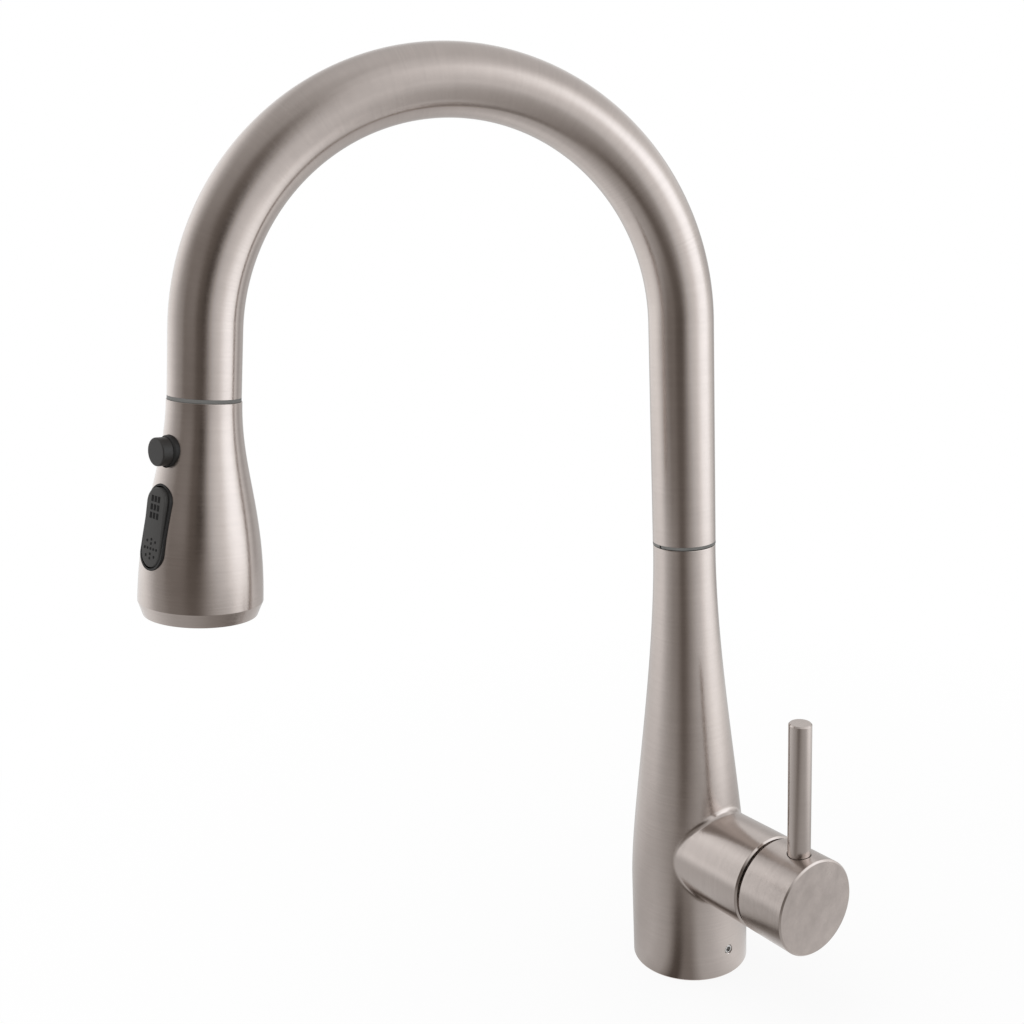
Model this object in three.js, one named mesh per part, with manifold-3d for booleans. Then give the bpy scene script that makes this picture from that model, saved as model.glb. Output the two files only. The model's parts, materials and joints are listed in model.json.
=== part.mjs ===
// Pull-down kitchen faucet: a single-hole mixer with a swivelling gooseneck spout,
// a spray head that pulls out on a hose, and a side lever on a ceramic disc cartridge.
// Units are millimetres, +Z is up and the deck is the plane z = 0. The faucet stands on
// the origin, the lever barrel points along +X and the front is -Y.

import * as THREE from 'three';
import { mergeVertices } from 'three/addons/utils/BufferGeometryUtils.js';
import Module from 'manifold-3d';

const wasm = await Module();
wasm.setup();

// ---------------------------------------------------------------- driving dimensions

// Fits
const gap = 0.3;               // between pieces that are assembled and don't turn
const runGap = 0.2;            // between faces that slide on each other
const eps = 0.5;               // how far a cutting tool runs past the face that it cuts

// Body
const bodyRadius = 27.6;       // foot of the body
const bodyStraight = 39;       // height of the straight foot
const neckRadius = 14.1;       // top of the body
const seamHeight = 209.2;        // middle of the joint between body and spout
const footReach = 37;          // Bezier handle that leaves the foot
const neckReach = 61.6;        // Bezier handle that arrives at the neck
const bodyWall = 3;
const neckBore = 12.1;         // radius of the swivel bearing in the neck
const shoulderHeight = 165;    // underside of the bearing, where the clip bears
const footWall = 4;
const gasketWidth = 2.2;
const gasketHeight = 1.2;
const insertHeight = 18;       // mounting insert inside the foot
const screwHeight = 13;        // set screw that locks the body on its insert
const screwRadius = 2;
const screwLength = 4.2;
const screwSocket = 1.1;       // radius of the hexagon socket
const screwDimple = 1;         // depth of its seat in the insert

// Side barrel
const barrelHeight = 60.5;     // height of the lever axis
const barrelRadius = 22;
const barrelEnd = 55;          // distance of the barrel's end face from the body axis
const barrelChamfer = 0.8;
const barrelFillet = 3;        // rolling-ball fillet where the barrel leaves the body
const filletSink = 0.15;       // how far the fillet's edges lie inside barrel and body
const seatX = 16;              // floor of the cartridge bore
const bossX = 4;               // inner face of the boss that the cartridge sits on
const cartridgeBore = 17.8;

// Cartridge
const sealThickness = 1;
const housingWall = 2.8;
const housingFloor = 6;
const housingTop = 50;         // outer face of the housing
const housingLid = 1.5;
const lidWindow = 9.5;         // radius of the hole that the stem sweeps in
const fixedThickness = 4;
const movingThickness = 5;
const movingRadius = 9.5;
const pivotX = 43;             // lever pivot, distance from the body axis
const stemWidth = 7;
const stemHeight = 8;
const stemPinRadius = 1.5;
const ballRadius = 2;          // ball at the stem's inner end, in the moving disc
const ballNeck = 1.6;
const ballX = 31.3;            // distance of the ball from the body axis
const nutThickness = 3.7;
const stemWindow = 11;         // radius of the hole in the nut
const portRadius = 3;
const portSpread = 9;          // hot and cold ports from the middle
const inletDrop = 4.5;         // inlet ports below the lever axis
const outletRise = 5.5;        // outlet port above the lever axis

// Supply tubes
const tubeRadius = 4.5;
const tubeBore = 3.2;
const tubePlaneX = 10;         // distance of the three tubes from the body axis
const tubeSpread = 10;

// Handle
const capGap = 2;              // between the barrel and the cap
const capLength = 24.5;
const capChamfer = 0.7;
const capRim = 0.6;            // land left at the cap's rim
const capWall = 2;
const capRimTaper = 3;         // depth of the taper inside the rim
const capPlate = 15;           // solid end of the cap
const capBossRadius = 8;
const capBossLength = 6;
const pinRadius = 5;
const pinInset = 9.5;          // pin axis from the cap's outer face
const pinTop = 83;             // top of the pin above the lever axis
const pinSeat = 14;            // shoulder of the pin above the lever axis
const pinChamfer = 0.6;
const pinStud = 3;             // radius of the pin's threaded end

// Spout
const spoutRadius = 14.25;
const spoutWall = 1.2;
const archRadius = 101.5;      // centre line of the arch
const archHeight = 308.3;      // height of the arch's centre
const archSweep = 173;         // degrees
const legLength = 27.4;        // straight leg between the arch and the spray head
const spoutSwing = -15;        // degrees that the spout is turned from straight ahead
const ringThickness = 1.2;     // visible edge of the glide ring
const ringSleeve = 8;
const ringSplit = 1.2;
const spigotBore = 8.5;
const spigotDrop = 7;          // spigot below the neck's shoulder
const spigotRise = 18;         // spigot above the joint
const ringWall = 1.2;
const ringProud = 0.1;
const oringSection = 1;        // radius of an O-ring's section
const oringInset = 9;          // O-ring grooves from the two ends of the bearing
const clipThickness = 1.2;
const clipRadius = 12.7;
const clipRoom = 1.5;          // height of the recess that the clip snaps out into
const clipDepth = 1.3;         // depth of the clip's groove in the spigot
const clipMouth = 4;

// Hose
const hoseRadius = 6;
const hoseOffset = -9;         // hose axis in the foot of the body
const hoseRoom = 1;            // around the hose where it passes the insert
const hoseSplit = 150;         // height where the turning part of the hose begins
const hosePull = 11;           // stretch of hose at the spray head

// Spray head, measured down its axis from its top face
const headTopRadius = 14.5;
const headLineRadius = 24.7;   // radius at the line above the bottom bevel
const headLineEase = 0.35;     // how far the side is from straight at that line
const headLine = 80;
const headLength = 85.7;
const headBottomRadius = 22.5;
const headTopReach = 26.6;     // Bezier handle at the top
const headLineReach = 37.7;    // Bezier handle at the line
const headWall = 1.7;
const headTurn = 29;           // degrees that the controls are turned from straight out
const headLip = 2;
const dockDepth = 18;
const dockBore = 10.9;
const coreSpigot = 14;
const coreRadius = 11.6;
const coreFlange = 71.2;
const coreFlangeThickness = 6;
const socketRadius = 8;        // for the hose nut
const socketDepth = 7;
const valveRadius = 5.5;
const valveLength = 6.7;
const waterway = 2.5;
const faceBore = 20.5;
const faceThickness = 3;
const padThickness = 2.9;
const nozzleTip = 85;
const nozzleRadius = 0.9;
const nozzleTaper = 0.7;       // tip radius over root radius
const nozzleRows = [
  { radius: 12.2, count: 8 },
  { radius: 16.4, count: 12 },
];
const aeratorRadius = 8.7;
const aeratorWall = 1.6;
const aeratorLip = 1;          // width of the ledge that holds the screen
const aeratorLipHeight = 2;
const screenThickness = 1;
const screenHole = 0.8;
const screenPitch = 3.4;

// Hose end
const ferruleLength = 10;
const ferruleRadius = 6.9;
const ferruleEnd = -2;         // bottom of the ferrule, above the head's top face
const hoseNeck = 4.6;
const hoseCollar = 6;          // captive collar under the nut
const collarThickness = 1.8;
const nutLength = 4.4;
const washerThickness = 1.6;

// Controls on the spray head
const buttonPlace = 19.1;      // button axis below the top face
const buttonRadius = 5.5;
const buttonProud = 5.3;
const buttonChamfer = 0.5;
const buttonTravel = 2.2;
const bezelWall = 0.5;
const bezelProud = 0.4;
const plungerRadius = 2.4;
const plungerTip = 4.8;
const springSeat = 6;
const springRadius = 3.3;      // mean radius of the coil
const springWire = 0.45;       // radius of the wire
const springTurns = 5;
const rockerPlace = 48.2;      // rocker's middle below the top face
const rockerLength = 31.2;
const rockerWidth = 12.2;
const rockerProud = 0.6;
const rockerDepth = 4.4;
const rockerBevel = 0.5;
const rockerThrow = 6;         // degrees between the rocker's two positions
const rockerEndGap = 0.5;
const frameWall = 0.8;
const frameDepth = 4.5;
const frameDrop = 0.3;         // top of the frame below the head's surface
const rockerPinRadius = 1;
const rockerPinDepth = 2.6;    // pin below the head's surface
const fingerRadius = 1.2;
const fingerTip = 7.5;         // distance of the finger's tip from the head axis
const spoolRadius = 3.2;
const spoolOffset = 7;         // spool axis from the head axis
const spoolLength = 16;

// Facets
const fine = 28;
const medium = 18;
const coarse = 12;
const hoseSides = 8;
const portSides = 8;
const jetSides = 5;            // nozzles and their holes
const hexagon = 6;
const archSteps = 22;          // lengths of tube along the spout
const hoseSteps = 20;

// ---------------------------------------------------------------- solids

const { degToRad, radToDeg } = THREE.MathUtils;

// A closed three.js geometry becomes a solid that can be joined and cut.
function solid(geometry) {
  const bare = geometry.index ? geometry.toNonIndexed() : geometry.clone();
  bare.deleteAttribute('normal');
  bare.deleteAttribute('uv');
  const merged = mergeVertices(bare, 1e-4);
  const index = [];
  for (let i = 0; i < merged.index.count; i += 3) {
    const [a, b, c] = [0, 1, 2].map((k) => merged.index.getX(i + k));
    if (a !== b && b !== c && c !== a) index.push(a, b, c);
  }
  const vertProperties = Float32Array.from(merged.attributes.position.array);
  const make = (tris) => new wasm.Manifold(
    new wasm.Mesh({ numProp: 3, vertProperties, triVerts: Uint32Array.from(tris) }));
  const body = make(index);
  return body.volume() > 0 ? body : make(index.reverse());
}

function geometryOf(body) {
  const mesh = body.getMesh();
  const geometry = new THREE.BufferGeometry();
  geometry.setAttribute('position', new THREE.BufferAttribute(mesh.vertProperties, 3));
  geometry.setIndex(new THREE.BufferAttribute(mesh.triVerts, 1));
  geometry.computeVertexNormals();
  return geometry;
}

// A solid of revolution about Z. The outline is a closed list of [radius, height].
function revolve(outline, segments = medium) {
  const closed = [...outline, outline[0]].map(([r, z]) => new THREE.Vector2(r, z));
  return solid(new THREE.LatheGeometry(closed, segments).rotateX(Math.PI / 2));
}

function disc(radius, low, high, segments = medium) {
  return revolve([[0, low], [radius, low], [radius, high], [0, high]], segments);
}

function sleeve(outer, inner, low, high, segments = medium) {
  return revolve([[inner, low], [outer, low], [outer, high], [inner, high]], segments);
}

function block(width, depth, height, x, y, z) {
  return solid(new THREE.BoxGeometry(width, depth, height).translate(x, y, z));
}

// A rod between two points.
function rod(radius, from, to, segments = coarse) {
  const start = new THREE.Vector3(...from);
  const along = new THREE.Vector3(...to).sub(start);
  const turn = new THREE.Quaternion().setFromUnitVectors(
    new THREE.Vector3(0, 1, 0), along.clone().normalize());
  const shape = new THREE.CylinderGeometry(radius, radius, along.length(), segments);
  shape.applyQuaternion(turn);
  shape.translate(...start.addScaledVector(along, 0.5).toArray());
  return solid(shape);
}

function ring(radius, section, z, sides = 5, segments = coarse) {
  const outline = [];
  for (let i = 0; i < sides; i += 1) {
    const angle = (i / sides) * 2 * Math.PI;
    outline.push([radius + section * Math.cos(angle), z + section * Math.sin(angle)]);
  }
  return revolve(outline, segments);
}

// A flat plate with round ends, standing on z = 0, its length along Y.
function stadium(length, width, height, bevel = 0) {
  const r = width / 2;
  const half = length / 2 - r;
  const shape = new THREE.Shape();
  shape.absarc(0, half, r, 0, Math.PI);
  shape.absarc(0, -half, r, Math.PI, 2 * Math.PI);
  const geometry = new THREE.ExtrudeGeometry(shape, {
    depth: height - 2 * bevel,
    curveSegments: 5,
    bevelEnabled: bevel > 0,
    bevelSegments: 1,
    bevelSize: bevel,
    bevelOffset: -bevel,
    bevelThickness: bevel,
  });
  return solid(geometry.translate(0, 0, bevel));
}

// A ring of separate sections, joined all the way round.
function loftRing(sections) {
  const points = [];
  const index = [];
  const n = sections[0].length;
  sections.forEach((section) => section.forEach((p) => points.push(p.x, p.y, p.z)));
  for (let i = 0; i < sections.length; i += 1) {
    const next = ((i + 1) % sections.length) * n;
    for (let j = 0; j < n; j += 1) {
      const k = (j + 1) % n;
      index.push(i * n + j, next + j, next + k, i * n + j, next + k, i * n + k);
    }
  }
  const geometry = new THREE.BufferGeometry();
  geometry.setAttribute('position', new THREE.Float32BufferAttribute(points, 3));
  geometry.setIndex(index);
  return solid(geometry);
}

// ---------------------------------------------------------------- materials

const finish = (color, roughness, metalness) =>
  new THREE.MeshStandardMaterial({ color, roughness, metalness });

const brushedSteel = finish(0xb9b1ac, 0.32, 1);
const brass = finish(0xb08d4f, 0.4, 1);
const bareSteel = finish(0xc4c4c4, 0.3, 1);
const blackPlastic = finish(0x2b2a29, 0.5, 0);
const greyPlastic = finish(0x8b8a88, 0.5, 0);
const rubber = finish(0x1c1c1c, 0.9, 0);
const ceramic = finish(0xe8e4dc, 0.25, 0);
const braid = finish(0x5b5b5d, 0.7, 0);

const faucet = new THREE.Group();

function add(group, name, material, body) {
  const mesh = new THREE.Mesh(geometryOf(body), material);
  mesh.name = name;
  group.add(mesh);
}

// ---------------------------------------------------------------- body

const seamHalf = ringThickness / 2 + runGap;
const bodyTop = seamHeight - seamHalf;
const footBore = bodyRadius - footWall;

// The body's side: a straight foot, then one S-shaped curve up to the neck.
const bodyCurve = new THREE.CubicBezierCurve(
  new THREE.Vector2(bodyRadius, bodyStraight),
  new THREE.Vector2(bodyRadius, bodyStraight + footReach),
  new THREE.Vector2(neckRadius, bodyTop - neckReach),
  new THREE.Vector2(neckRadius, bodyTop),
);

function curveRadius(curve, height) {
  let [low, high] = [0, 1];
  for (let i = 0; i < 40; i += 1) {
    const middle = (low + high) / 2;
    if (curve.getPoint(middle).y < height) low = middle;
    else high = middle;
  }
  return curve.getPoint(low).x;
}

function bodyRadiusAt(height) {
  return height <= bodyStraight ? bodyRadius : curveRadius(bodyCurve, height);
}

// The nearest point of the body's side to a point at radius rho and height z.
function nearestOnBody(rho, z) {
  let best = { distance: Infinity };
  for (let h = z - 2 * barrelFillet; h <= z + 2 * barrelFillet; h += 0.1) {
    const r = bodyRadiusAt(h);
    const distance = Math.hypot(rho - r, z - h);
    if (distance < best.distance) best = { distance, r, h };
  }
  return best;
}

// One section of the fillet: a ball that touches barrel and body rolls round the barrel.
function filletSection(angle) {
  const [s, c] = [Math.sin(angle), Math.cos(angle)];
  const reach = barrelRadius + barrelFillet;
  const [y, z] = [reach * s, barrelHeight + reach * c];
  let [low, high] = [0, barrelEnd];
  for (let i = 0; i < 24; i += 1) {
    const x = (low + high) / 2;
    const rho = Math.hypot(x, y);
    const inside = rho < bodyRadiusAt(z);
    if (inside || nearestOnBody(rho, z).distance < barrelFillet) low = x;
    else high = x;
  }
  const centre = new THREE.Vector3(low, y, z);
  const rho = Math.hypot(low, y);
  const touch = nearestOnBody(rho, z);
  const onBody = new THREE.Vector3((low * touch.r) / rho, (y * touch.r) / rho, touch.h);
  const onBarrel = new THREE.Vector3(low, barrelRadius * s, barrelHeight + barrelRadius * c);
  const toBody = onBody.clone().sub(centre).normalize();
  const toBarrel = onBarrel.clone().sub(centre).normalize();
  const arc = [];
  const steps = 3;
  for (let i = 0; i <= steps; i += 1) {
    const t = i / steps;
    const dir = toBody.clone().lerp(toBarrel, t).normalize();
    const sink = i === 0 || i === steps ? filletSink : 0;
    arc.push(centre.clone().addScaledVector(dir, barrelFillet + sink));
  }
  const halfAngle = toBody.angleTo(toBarrel) / 2;
  const inwards = toBody.add(toBarrel).normalize();
  const corner = barrelFillet / Math.cos(halfAngle);
  const deep = centre.clone().addScaledVector(inwards, corner + eps);
  return [...arc, deep];
}

function barrelAlong(body) {
  return body.rotate([0, 90, 0]).translate([0, 0, barrelHeight]);
}

const cavityTop = shoulderHeight;
const clipLow = shoulderHeight - gap - clipThickness;
const gasketMiddle = (footBore + bodyRadius) / 2;
const grooveOuter = gasketMiddle + gasketWidth / 2 + gap / 2;
const grooveInner = gasketMiddle - gasketWidth / 2 - gap / 2;

function bodyShell() {
  const outer = [[0, 0], [bodyRadius, 0], [bodyRadius, bodyStraight]];
  const steps = 10;
  for (let i = 1; i <= steps; i += 1) {
    const p = bodyCurve.getPoint(i / steps);
    outer.push([p.x, p.y]);
  }
  outer.push([0, bodyTop]);

  const hollow = [[0, -eps], [footBore, -eps]];
  const rings = 4;
  for (let i = 0; i <= rings; i += 1) {
    const h = THREE.MathUtils.lerp(bodyStraight, cavityTop, i / rings);
    hollow.push([Math.min(footBore, bodyRadiusAt(h) - bodyWall), h]);
  }
  hollow.push([0, cavityTop]);

  const barrelOutline = [
    [0, bossX],
    [barrelRadius, bossX],
    [barrelRadius, barrelEnd - barrelChamfer],
    [barrelRadius - barrelChamfer, barrelEnd],
    [0, barrelEnd],
  ];
  const barrel = barrelAlong(revolve(barrelOutline, fine));
  const sections = [];
  for (let i = 0; i < fine; i += 1) sections.push(filletSection((i / fine) * 2 * Math.PI));

  const stub = barrel.intersect(revolve(outer, fine));
  let body = revolve(outer, fine).add(barrel).add(loftRing(sections));
  body = body.subtract(revolve(hollow)).add(stub);

  const cuts = [
    barrelAlong(disc(cartridgeBore, seatX, barrelEnd + eps)),
    disc(neckBore, cavityTop - eps, bodyTop + eps, fine),
    disc(clipRadius + gap, clipLow - clipRoom, cavityTop),
    sleeve(grooveOuter, grooveInner, -eps, gasketHeight + gap, fine),
    screwRod(screwRadius + gap / 2, footBore - eps, bodyRadius + eps),
  ];
  supplyTubes().forEach(({ y, port }) => {
    const top = barrelHeight + port;
    cuts.push(rod(tubeRadius + gap, [tubePlaneX, y, insertHeight], [tubePlaneX, y, top]));
    const start = [tubePlaneX, y, top - portRadius];
    cuts.push(rod(portRadius, start, [seatX + eps, y, top - portRadius]));
  });
  return cuts.reduce((rest, cut) => rest.subtract(cut), body);
}

// The set screw points inwards below the barrel.
function screwRod(radius, from, to, segments = 12) {
  return rod(radius, [from, 0, screwHeight], [to, 0, screwHeight], segments);
}

function supplyTubes() {
  return [
    { name: 'hot_inlet_tube', y: tubeSpread, port: -inletDrop + portRadius },
    { name: 'mixed_outlet_tube', y: 0, port: outletRise + portRadius },
    { name: 'cold_inlet_tube', y: -tubeSpread, port: -inletDrop + portRadius },
  ];
}

function tubeTop(tube) {
  return barrelHeight + tube.port - gap;
}

function baseInsert() {
  let body = disc(footBore - gap, gap, insertHeight);
  body = body.subtract(disc(hoseRadius + hoseRoom, 0, insertHeight + eps).translate([hoseOffset, 0, 0]));
  supplyTubes().forEach(({ y }) => {
    const hole = disc(tubeRadius + gap, 0, insertHeight + eps, coarse);
    body = body.subtract(hole.translate([tubePlaneX, y, 0]));
  });
  return body.subtract(screwRod(screwRadius + gap / 2, footBore - screwDimple, bodyRadius));
}

function setScrew() {
  const from = footBore - screwDimple + gap;
  const body = screwRod(screwRadius, from, from + screwLength);
  return body.subtract(screwRod(screwSocket, from + screwLength / 2, bodyRadius, hexagon));
}

add(faucet, 'body_shell', brushedSteel, bodyShell());
add(faucet, 'base_insert', brass, baseInsert());
add(faucet, 'base_gasket', rubber,
  sleeve(gasketMiddle + gasketWidth / 2, gasketMiddle - gasketWidth / 2, 0, gasketHeight, fine));
add(faucet, 'base_set_screw', bareSteel, setScrew());
supplyTubes().forEach((tube) => {
  const body = sleeve(tubeRadius, tubeBore, gap, tubeTop(tube), coarse);
  add(faucet, tube.name, brass, body.translate([tubePlaneX, tube.y, 0]));
});

// ---------------------------------------------------------------- cartridge
// Everything here lies along the barrel: local +Z is world +X, and local -X is up.

const barrel = new THREE.Group();
barrel.position.z = barrelHeight;
barrel.rotation.y = Math.PI / 2;
faucet.add(barrel);

const sealLow = seatX + gap;
const housingLow = sealLow + sealThickness + gap;
const housingRadius = cartridgeBore - gap;
const housingBore = housingRadius - housingWall;
const fixedLow = housingLow + housingFloor + gap;
const movingLow = fixedLow + fixedThickness + runGap;
const carrierLow = movingLow + movingThickness + runGap;
const carrierTop = housingTop - housingLid - runGap;
const carrierRadius = housingBore - runGap;
const capLow = barrelEnd + capGap;
const capHigh = capLow + capLength;
const pinX = capHigh - pinInset;
const stemEnd = pinX + pinRadius;

// Cuts the three water ports through a seal, floor or disc.
function withPorts(body, low, high) {
  const places = [
    [inletDrop, portSpread],
    [inletDrop, -portSpread],
    [-outletRise, 0],
  ];
  return places.reduce((rest, [x, y]) =>
    rest.subtract(disc(portRadius, low - eps, high + eps, portSides).translate([x, y, 0])), body);
}

// A cross hole along Y for the stem's pivot pin.
function pivotHole(halfLength) {
  return rod(stemPinRadius + runGap, [0, -halfLength, pivotX], [0, halfLength, pivotX]);
}

function cartridgeHousing() {
  const floorTop = housingLow + housingFloor;
  const lidLow = housingTop - housingLid;
  const body = disc(housingRadius, housingLow, housingTop)
    .subtract(disc(housingBore, floorTop, lidLow, fine))
    .subtract(disc(lidWindow, lidLow - eps, housingTop + eps));
  return withPorts(body, housingLow, floorTop);
}

function stemCarrier() {
  const height = carrierTop - carrierLow;
  const slot = block(2 * stemHeight, stemWidth + 2 * runGap, height + 2 * eps,
    0, 0, carrierLow + height / 2);
  return disc(carrierRadius, carrierLow, carrierTop)
    .subtract(slot)
    .subtract(pivotHole(carrierRadius + eps));
}

function movingDisc() {
  const recess = disc(ballRadius + gap, ballX - ballRadius - gap, carrierLow + eps);
  return disc(movingRadius, movingLow, movingLow + movingThickness).subtract(recess);
}

function cartridgeStem() {
  const bladeLow = pivotX - stemHeight / 2;
  const blade = block(stemHeight, stemWidth, stemEnd - bladeLow, 0, 0, (stemEnd + bladeLow) / 2);
  const neck = rod(ballNeck, [0, 0, ballX], [0, 0, bladeLow + eps]);
  const ball = solid(new THREE.SphereGeometry(ballRadius, coarse, coarse / 2).translate(0, 0, ballX));
  return blade.add(neck).add(ball).subtract(pivotHole(stemWidth));
}

function cartridgeNut() {
  const low = housingTop + gap;
  return sleeve(cartridgeBore - gap, stemWindow, low, low + nutThickness);
}

add(barrel, 'cartridge_seal', rubber,
  withPorts(disc(housingRadius, sealLow, sealLow + sealThickness), sealLow, housingLow));
add(barrel, 'cartridge_housing', greyPlastic, cartridgeHousing());
add(barrel, 'fixed_disc', ceramic,
  withPorts(disc(housingBore - gap, fixedLow, fixedLow + fixedThickness), fixedLow, movingLow));
add(barrel, 'moving_disc', ceramic, movingDisc());
add(barrel, 'stem_carrier', greyPlastic, stemCarrier());
add(barrel, 'stem_pivot_pin', bareSteel,
  rod(stemPinRadius, [0, -carrierRadius + gap, pivotX], [0, carrierRadius - gap, pivotX]));
add(barrel, 'cartridge_stem', bareSteel, cartridgeStem());
add(barrel, 'cartridge_nut', brass, cartridgeNut());

// ---------------------------------------------------------------- handle

// The cap's rim is tapered inside, so that it tips past the barrel's end.
function handleCap() {
  const inner = barrelRadius - capWall;
  const plate = capHigh - capPlate;
  const cup = revolve([
    [0, plate],
    [inner, plate],
    [inner, capLow + capRimTaper],
    [barrelRadius - capRim, capLow],
    [barrelRadius - capRim / 2, capLow],
    [barrelRadius, capLow + capRim / 2],
    [barrelRadius, capHigh - capChamfer],
    [barrelRadius - capChamfer, capHigh],
    [0, capHigh],
  ], fine);
  const boss = disc(capBossRadius, plate - capBossLength, plate + eps);
  const socketLength = stemEnd + gap - plate + capBossLength + eps;
  const socket = block(stemHeight + 2 * gap, stemWidth + 2 * gap, socketLength,
    0, 0, stemEnd + gap - socketLength / 2);
  const pinBore = rod(pinRadius + gap, [-pinSeat + gap, 0, pinX], [-barrelRadius - eps, 0, pinX]);
  const studBore = rod(pinStud + gap, [0, 0, pinX], [-pinSeat, 0, pinX], medium);
  return cup.add(boss).subtract(socket).subtract(pinBore).subtract(studBore);
}

// The lever pin is turned on +Z and then laid along local -X, which is up.
function leverPin() {
  const outline = [
    [0, stemHeight / 2 + gap],
    [pinStud, stemHeight / 2 + gap],
    [pinStud, pinSeat],
    [pinRadius, pinSeat],
    [pinRadius, pinTop - pinChamfer],
    [pinRadius - pinChamfer, pinTop],
    [0, pinTop],
  ];
  return revolve(outline, medium).rotate([0, -90, 0]).translate([0, 0, pinX]);
}

add(barrel, 'handle_cap', brushedSteel, handleCap());
add(barrel, 'lever_pin', brushedSteel, leverPin());

// ---------------------------------------------------------------- spout
// The spout group's front is -Y; the group is then swung about the body axis.

const spout = new THREE.Group();
spout.rotation.z = degToRad(spoutSwing);
faucet.add(spout);

const spoutLow = seamHeight + seamHalf;
const spoutBore = spoutRadius - spoutWall;
const sweepAngle = degToRad(archSweep);
const archLength = archRadius * sweepAngle;
const riseLength = archHeight - spoutLow;
const headTilt = Math.PI - sweepAngle;

// The spout's centre line, up the front of the body axis, over the arch and down the leg.
// Its parameter is the share of the length, so equal steps are equal lengths.
class Gooseneck extends THREE.Curve {
  constructor(from, to) {
    super();
    this.from = from;
    this.to = to;
  }

  getPoint(t, target = new THREE.Vector3()) {
    const s = this.from + (this.to - this.from) * t;
    if (s < riseLength) return target.set(0, 0, spoutLow + s);
    const angle = Math.min((s - riseLength) / archRadius, sweepAngle);
    const past = Math.max(0, s - riseLength - archLength);
    const y = -archRadius * (1 - Math.cos(angle)) - past * Math.sin(angle);
    const z = archHeight + archRadius * Math.sin(angle) + past * Math.cos(angle);
    return target.set(0, y, z);
  }
}

const spoutLength = riseLength + archLength + legLength - seamHalf * 2;
const headSeam = new Gooseneck(0, riseLength + archLength + legLength).getPoint(1);

function tubeAlong(curve, steps, outer, sides, inner, innerSides) {
  const circle = (radius, n) => {
    const shape = new THREE.Shape();
    for (let i = 0; i <= n; i += 1) {
      const a = (i / n) * 2 * Math.PI;
      if (i === 0) shape.moveTo(radius, 0);
      else shape.lineTo(radius * Math.cos(a), radius * Math.sin(a));
    }
    return shape;
  };
  const shape = circle(outer, sides);
  if (inner) shape.holes.push(circle(inner, innerSides));
  return solid(new THREE.ExtrudeGeometry(shape, { steps, extrudePath: curve }));
}

const bearingRadius = neckBore - runGap;
const sleeveLow = bodyTop - ringSleeve;
const oringHeights = [shoulderHeight + oringInset, sleeveLow - oringInset];

// A groove in the spigot, as points of its outline.
function groove(depth, low, high) {
  return [
    [bearingRadius, low - runGap],
    [bearingRadius - depth, low - runGap],
    [bearingRadius - depth, high + runGap],
    [bearingRadius, high + runGap],
  ];
}

// The spigot stands in the neck of the body and is pressed into the spout.
function spoutSpigot() {
  const oringDepth = 2 * oringSection + runGap;
  return revolve([
    [spigotBore, shoulderHeight - spigotDrop],
    [bearingRadius, shoulderHeight - spigotDrop],
    ...groove(clipDepth, clipLow, clipLow + clipThickness),
    ...oringHeights.flatMap((z) => groove(oringDepth, z - oringSection, z + oringSection)),
    [bearingRadius, sleeveLow - runGap],
    [bearingRadius - ringWall, sleeveLow - runGap],
    [bearingRadius - ringWall, spoutLow + gap],
    [spoutBore - gap, spoutLow + gap],
    [spoutBore - gap, spoutLow + spigotRise],
    [spigotBore, spoutLow + spigotRise],
  ], coarse);
}

// The glide ring is a split flanged bush between body, spigot and spout.
function glideRing() {
  const inner = neckBore - ringWall - runGap / 2;
  const body = revolve([
    [inner, sleeveLow],
    [neckBore - runGap / 2, sleeveLow],
    [neckBore - runGap / 2, bodyTop + runGap],
    [neckRadius + ringProud, bodyTop + runGap],
    [neckRadius + ringProud, spoutLow - runGap],
    [inner, spoutLow - runGap],
  ], fine);
  return body.subtract(block(ringSplit, 2 * neckRadius, 3 * ringSleeve, 0, -neckRadius, bodyTop));
}

function spigotClip() {
  const ringBody = sleeve(clipRadius, bearingRadius - clipDepth + runGap,
    clipLow, clipLow + clipThickness);
  return ringBody.subtract(block(clipMouth, 2 * clipRadius, 2 * spigotDrop, 0, clipRadius, clipLow));
}

add(faucet, 'glide_ring', greyPlastic, glideRing());
add(spout, 'spout_spigot', brass, spoutSpigot());
oringHeights.forEach((z, i) => {
  const radius = neckBore - runGap - oringSection;
  add(spout, `spigot_oring_${i + 1}`, rubber, ring(radius, oringSection, z));
});
add(spout, 'spigot_clip', bareSteel, spigotClip());
add(spout, 'spout_tube', brushedSteel, tubeAlong(
  new Gooseneck(0, spoutLength), archSteps, spoutRadius, medium, spoutBore, medium));

// ---------------------------------------------------------------- dock and spray head
// The head group hangs on the end of the spout: its local -Z runs down the head, and
// local -Y is straight out. Lengths along the head count down from its top face.

const head = new THREE.Group();
head.position.copy(headSeam);
head.rotation.x = -headTilt;
spout.add(head);

const headBody = new THREE.Group();
headBody.rotation.z = degToRad(headTurn);
head.add(headBody);

// A solid of revolution on the head's axis, outlined as [radius, distance down].
function turned(outline, segments = medium) {
  return revolve(outline.map(([r, down]) => [r, -down]), segments);
}

function turnedSleeve(outer, inner, from, to, segments = medium) {
  return turned([[inner, from], [outer, from], [outer, to], [inner, to]], segments);
}

// A rod that points out of the head towards the user, at a distance down the head.
function outward(radius, from, to, down, segments = coarse) {
  return rod(radius, [0, -from, -down], [0, -to, -down], segments);
}

const headCurve = new THREE.CubicBezierCurve(
  new THREE.Vector2(headTopRadius, 0),
  new THREE.Vector2(headTopRadius, headTopReach),
  new THREE.Vector2(headLineRadius - headLineEase, headLine - headLineReach),
  new THREE.Vector2(headLineRadius, headLine),
);

function headRadiusAt(down) {
  return curveRadius(headCurve, down);
}

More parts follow.
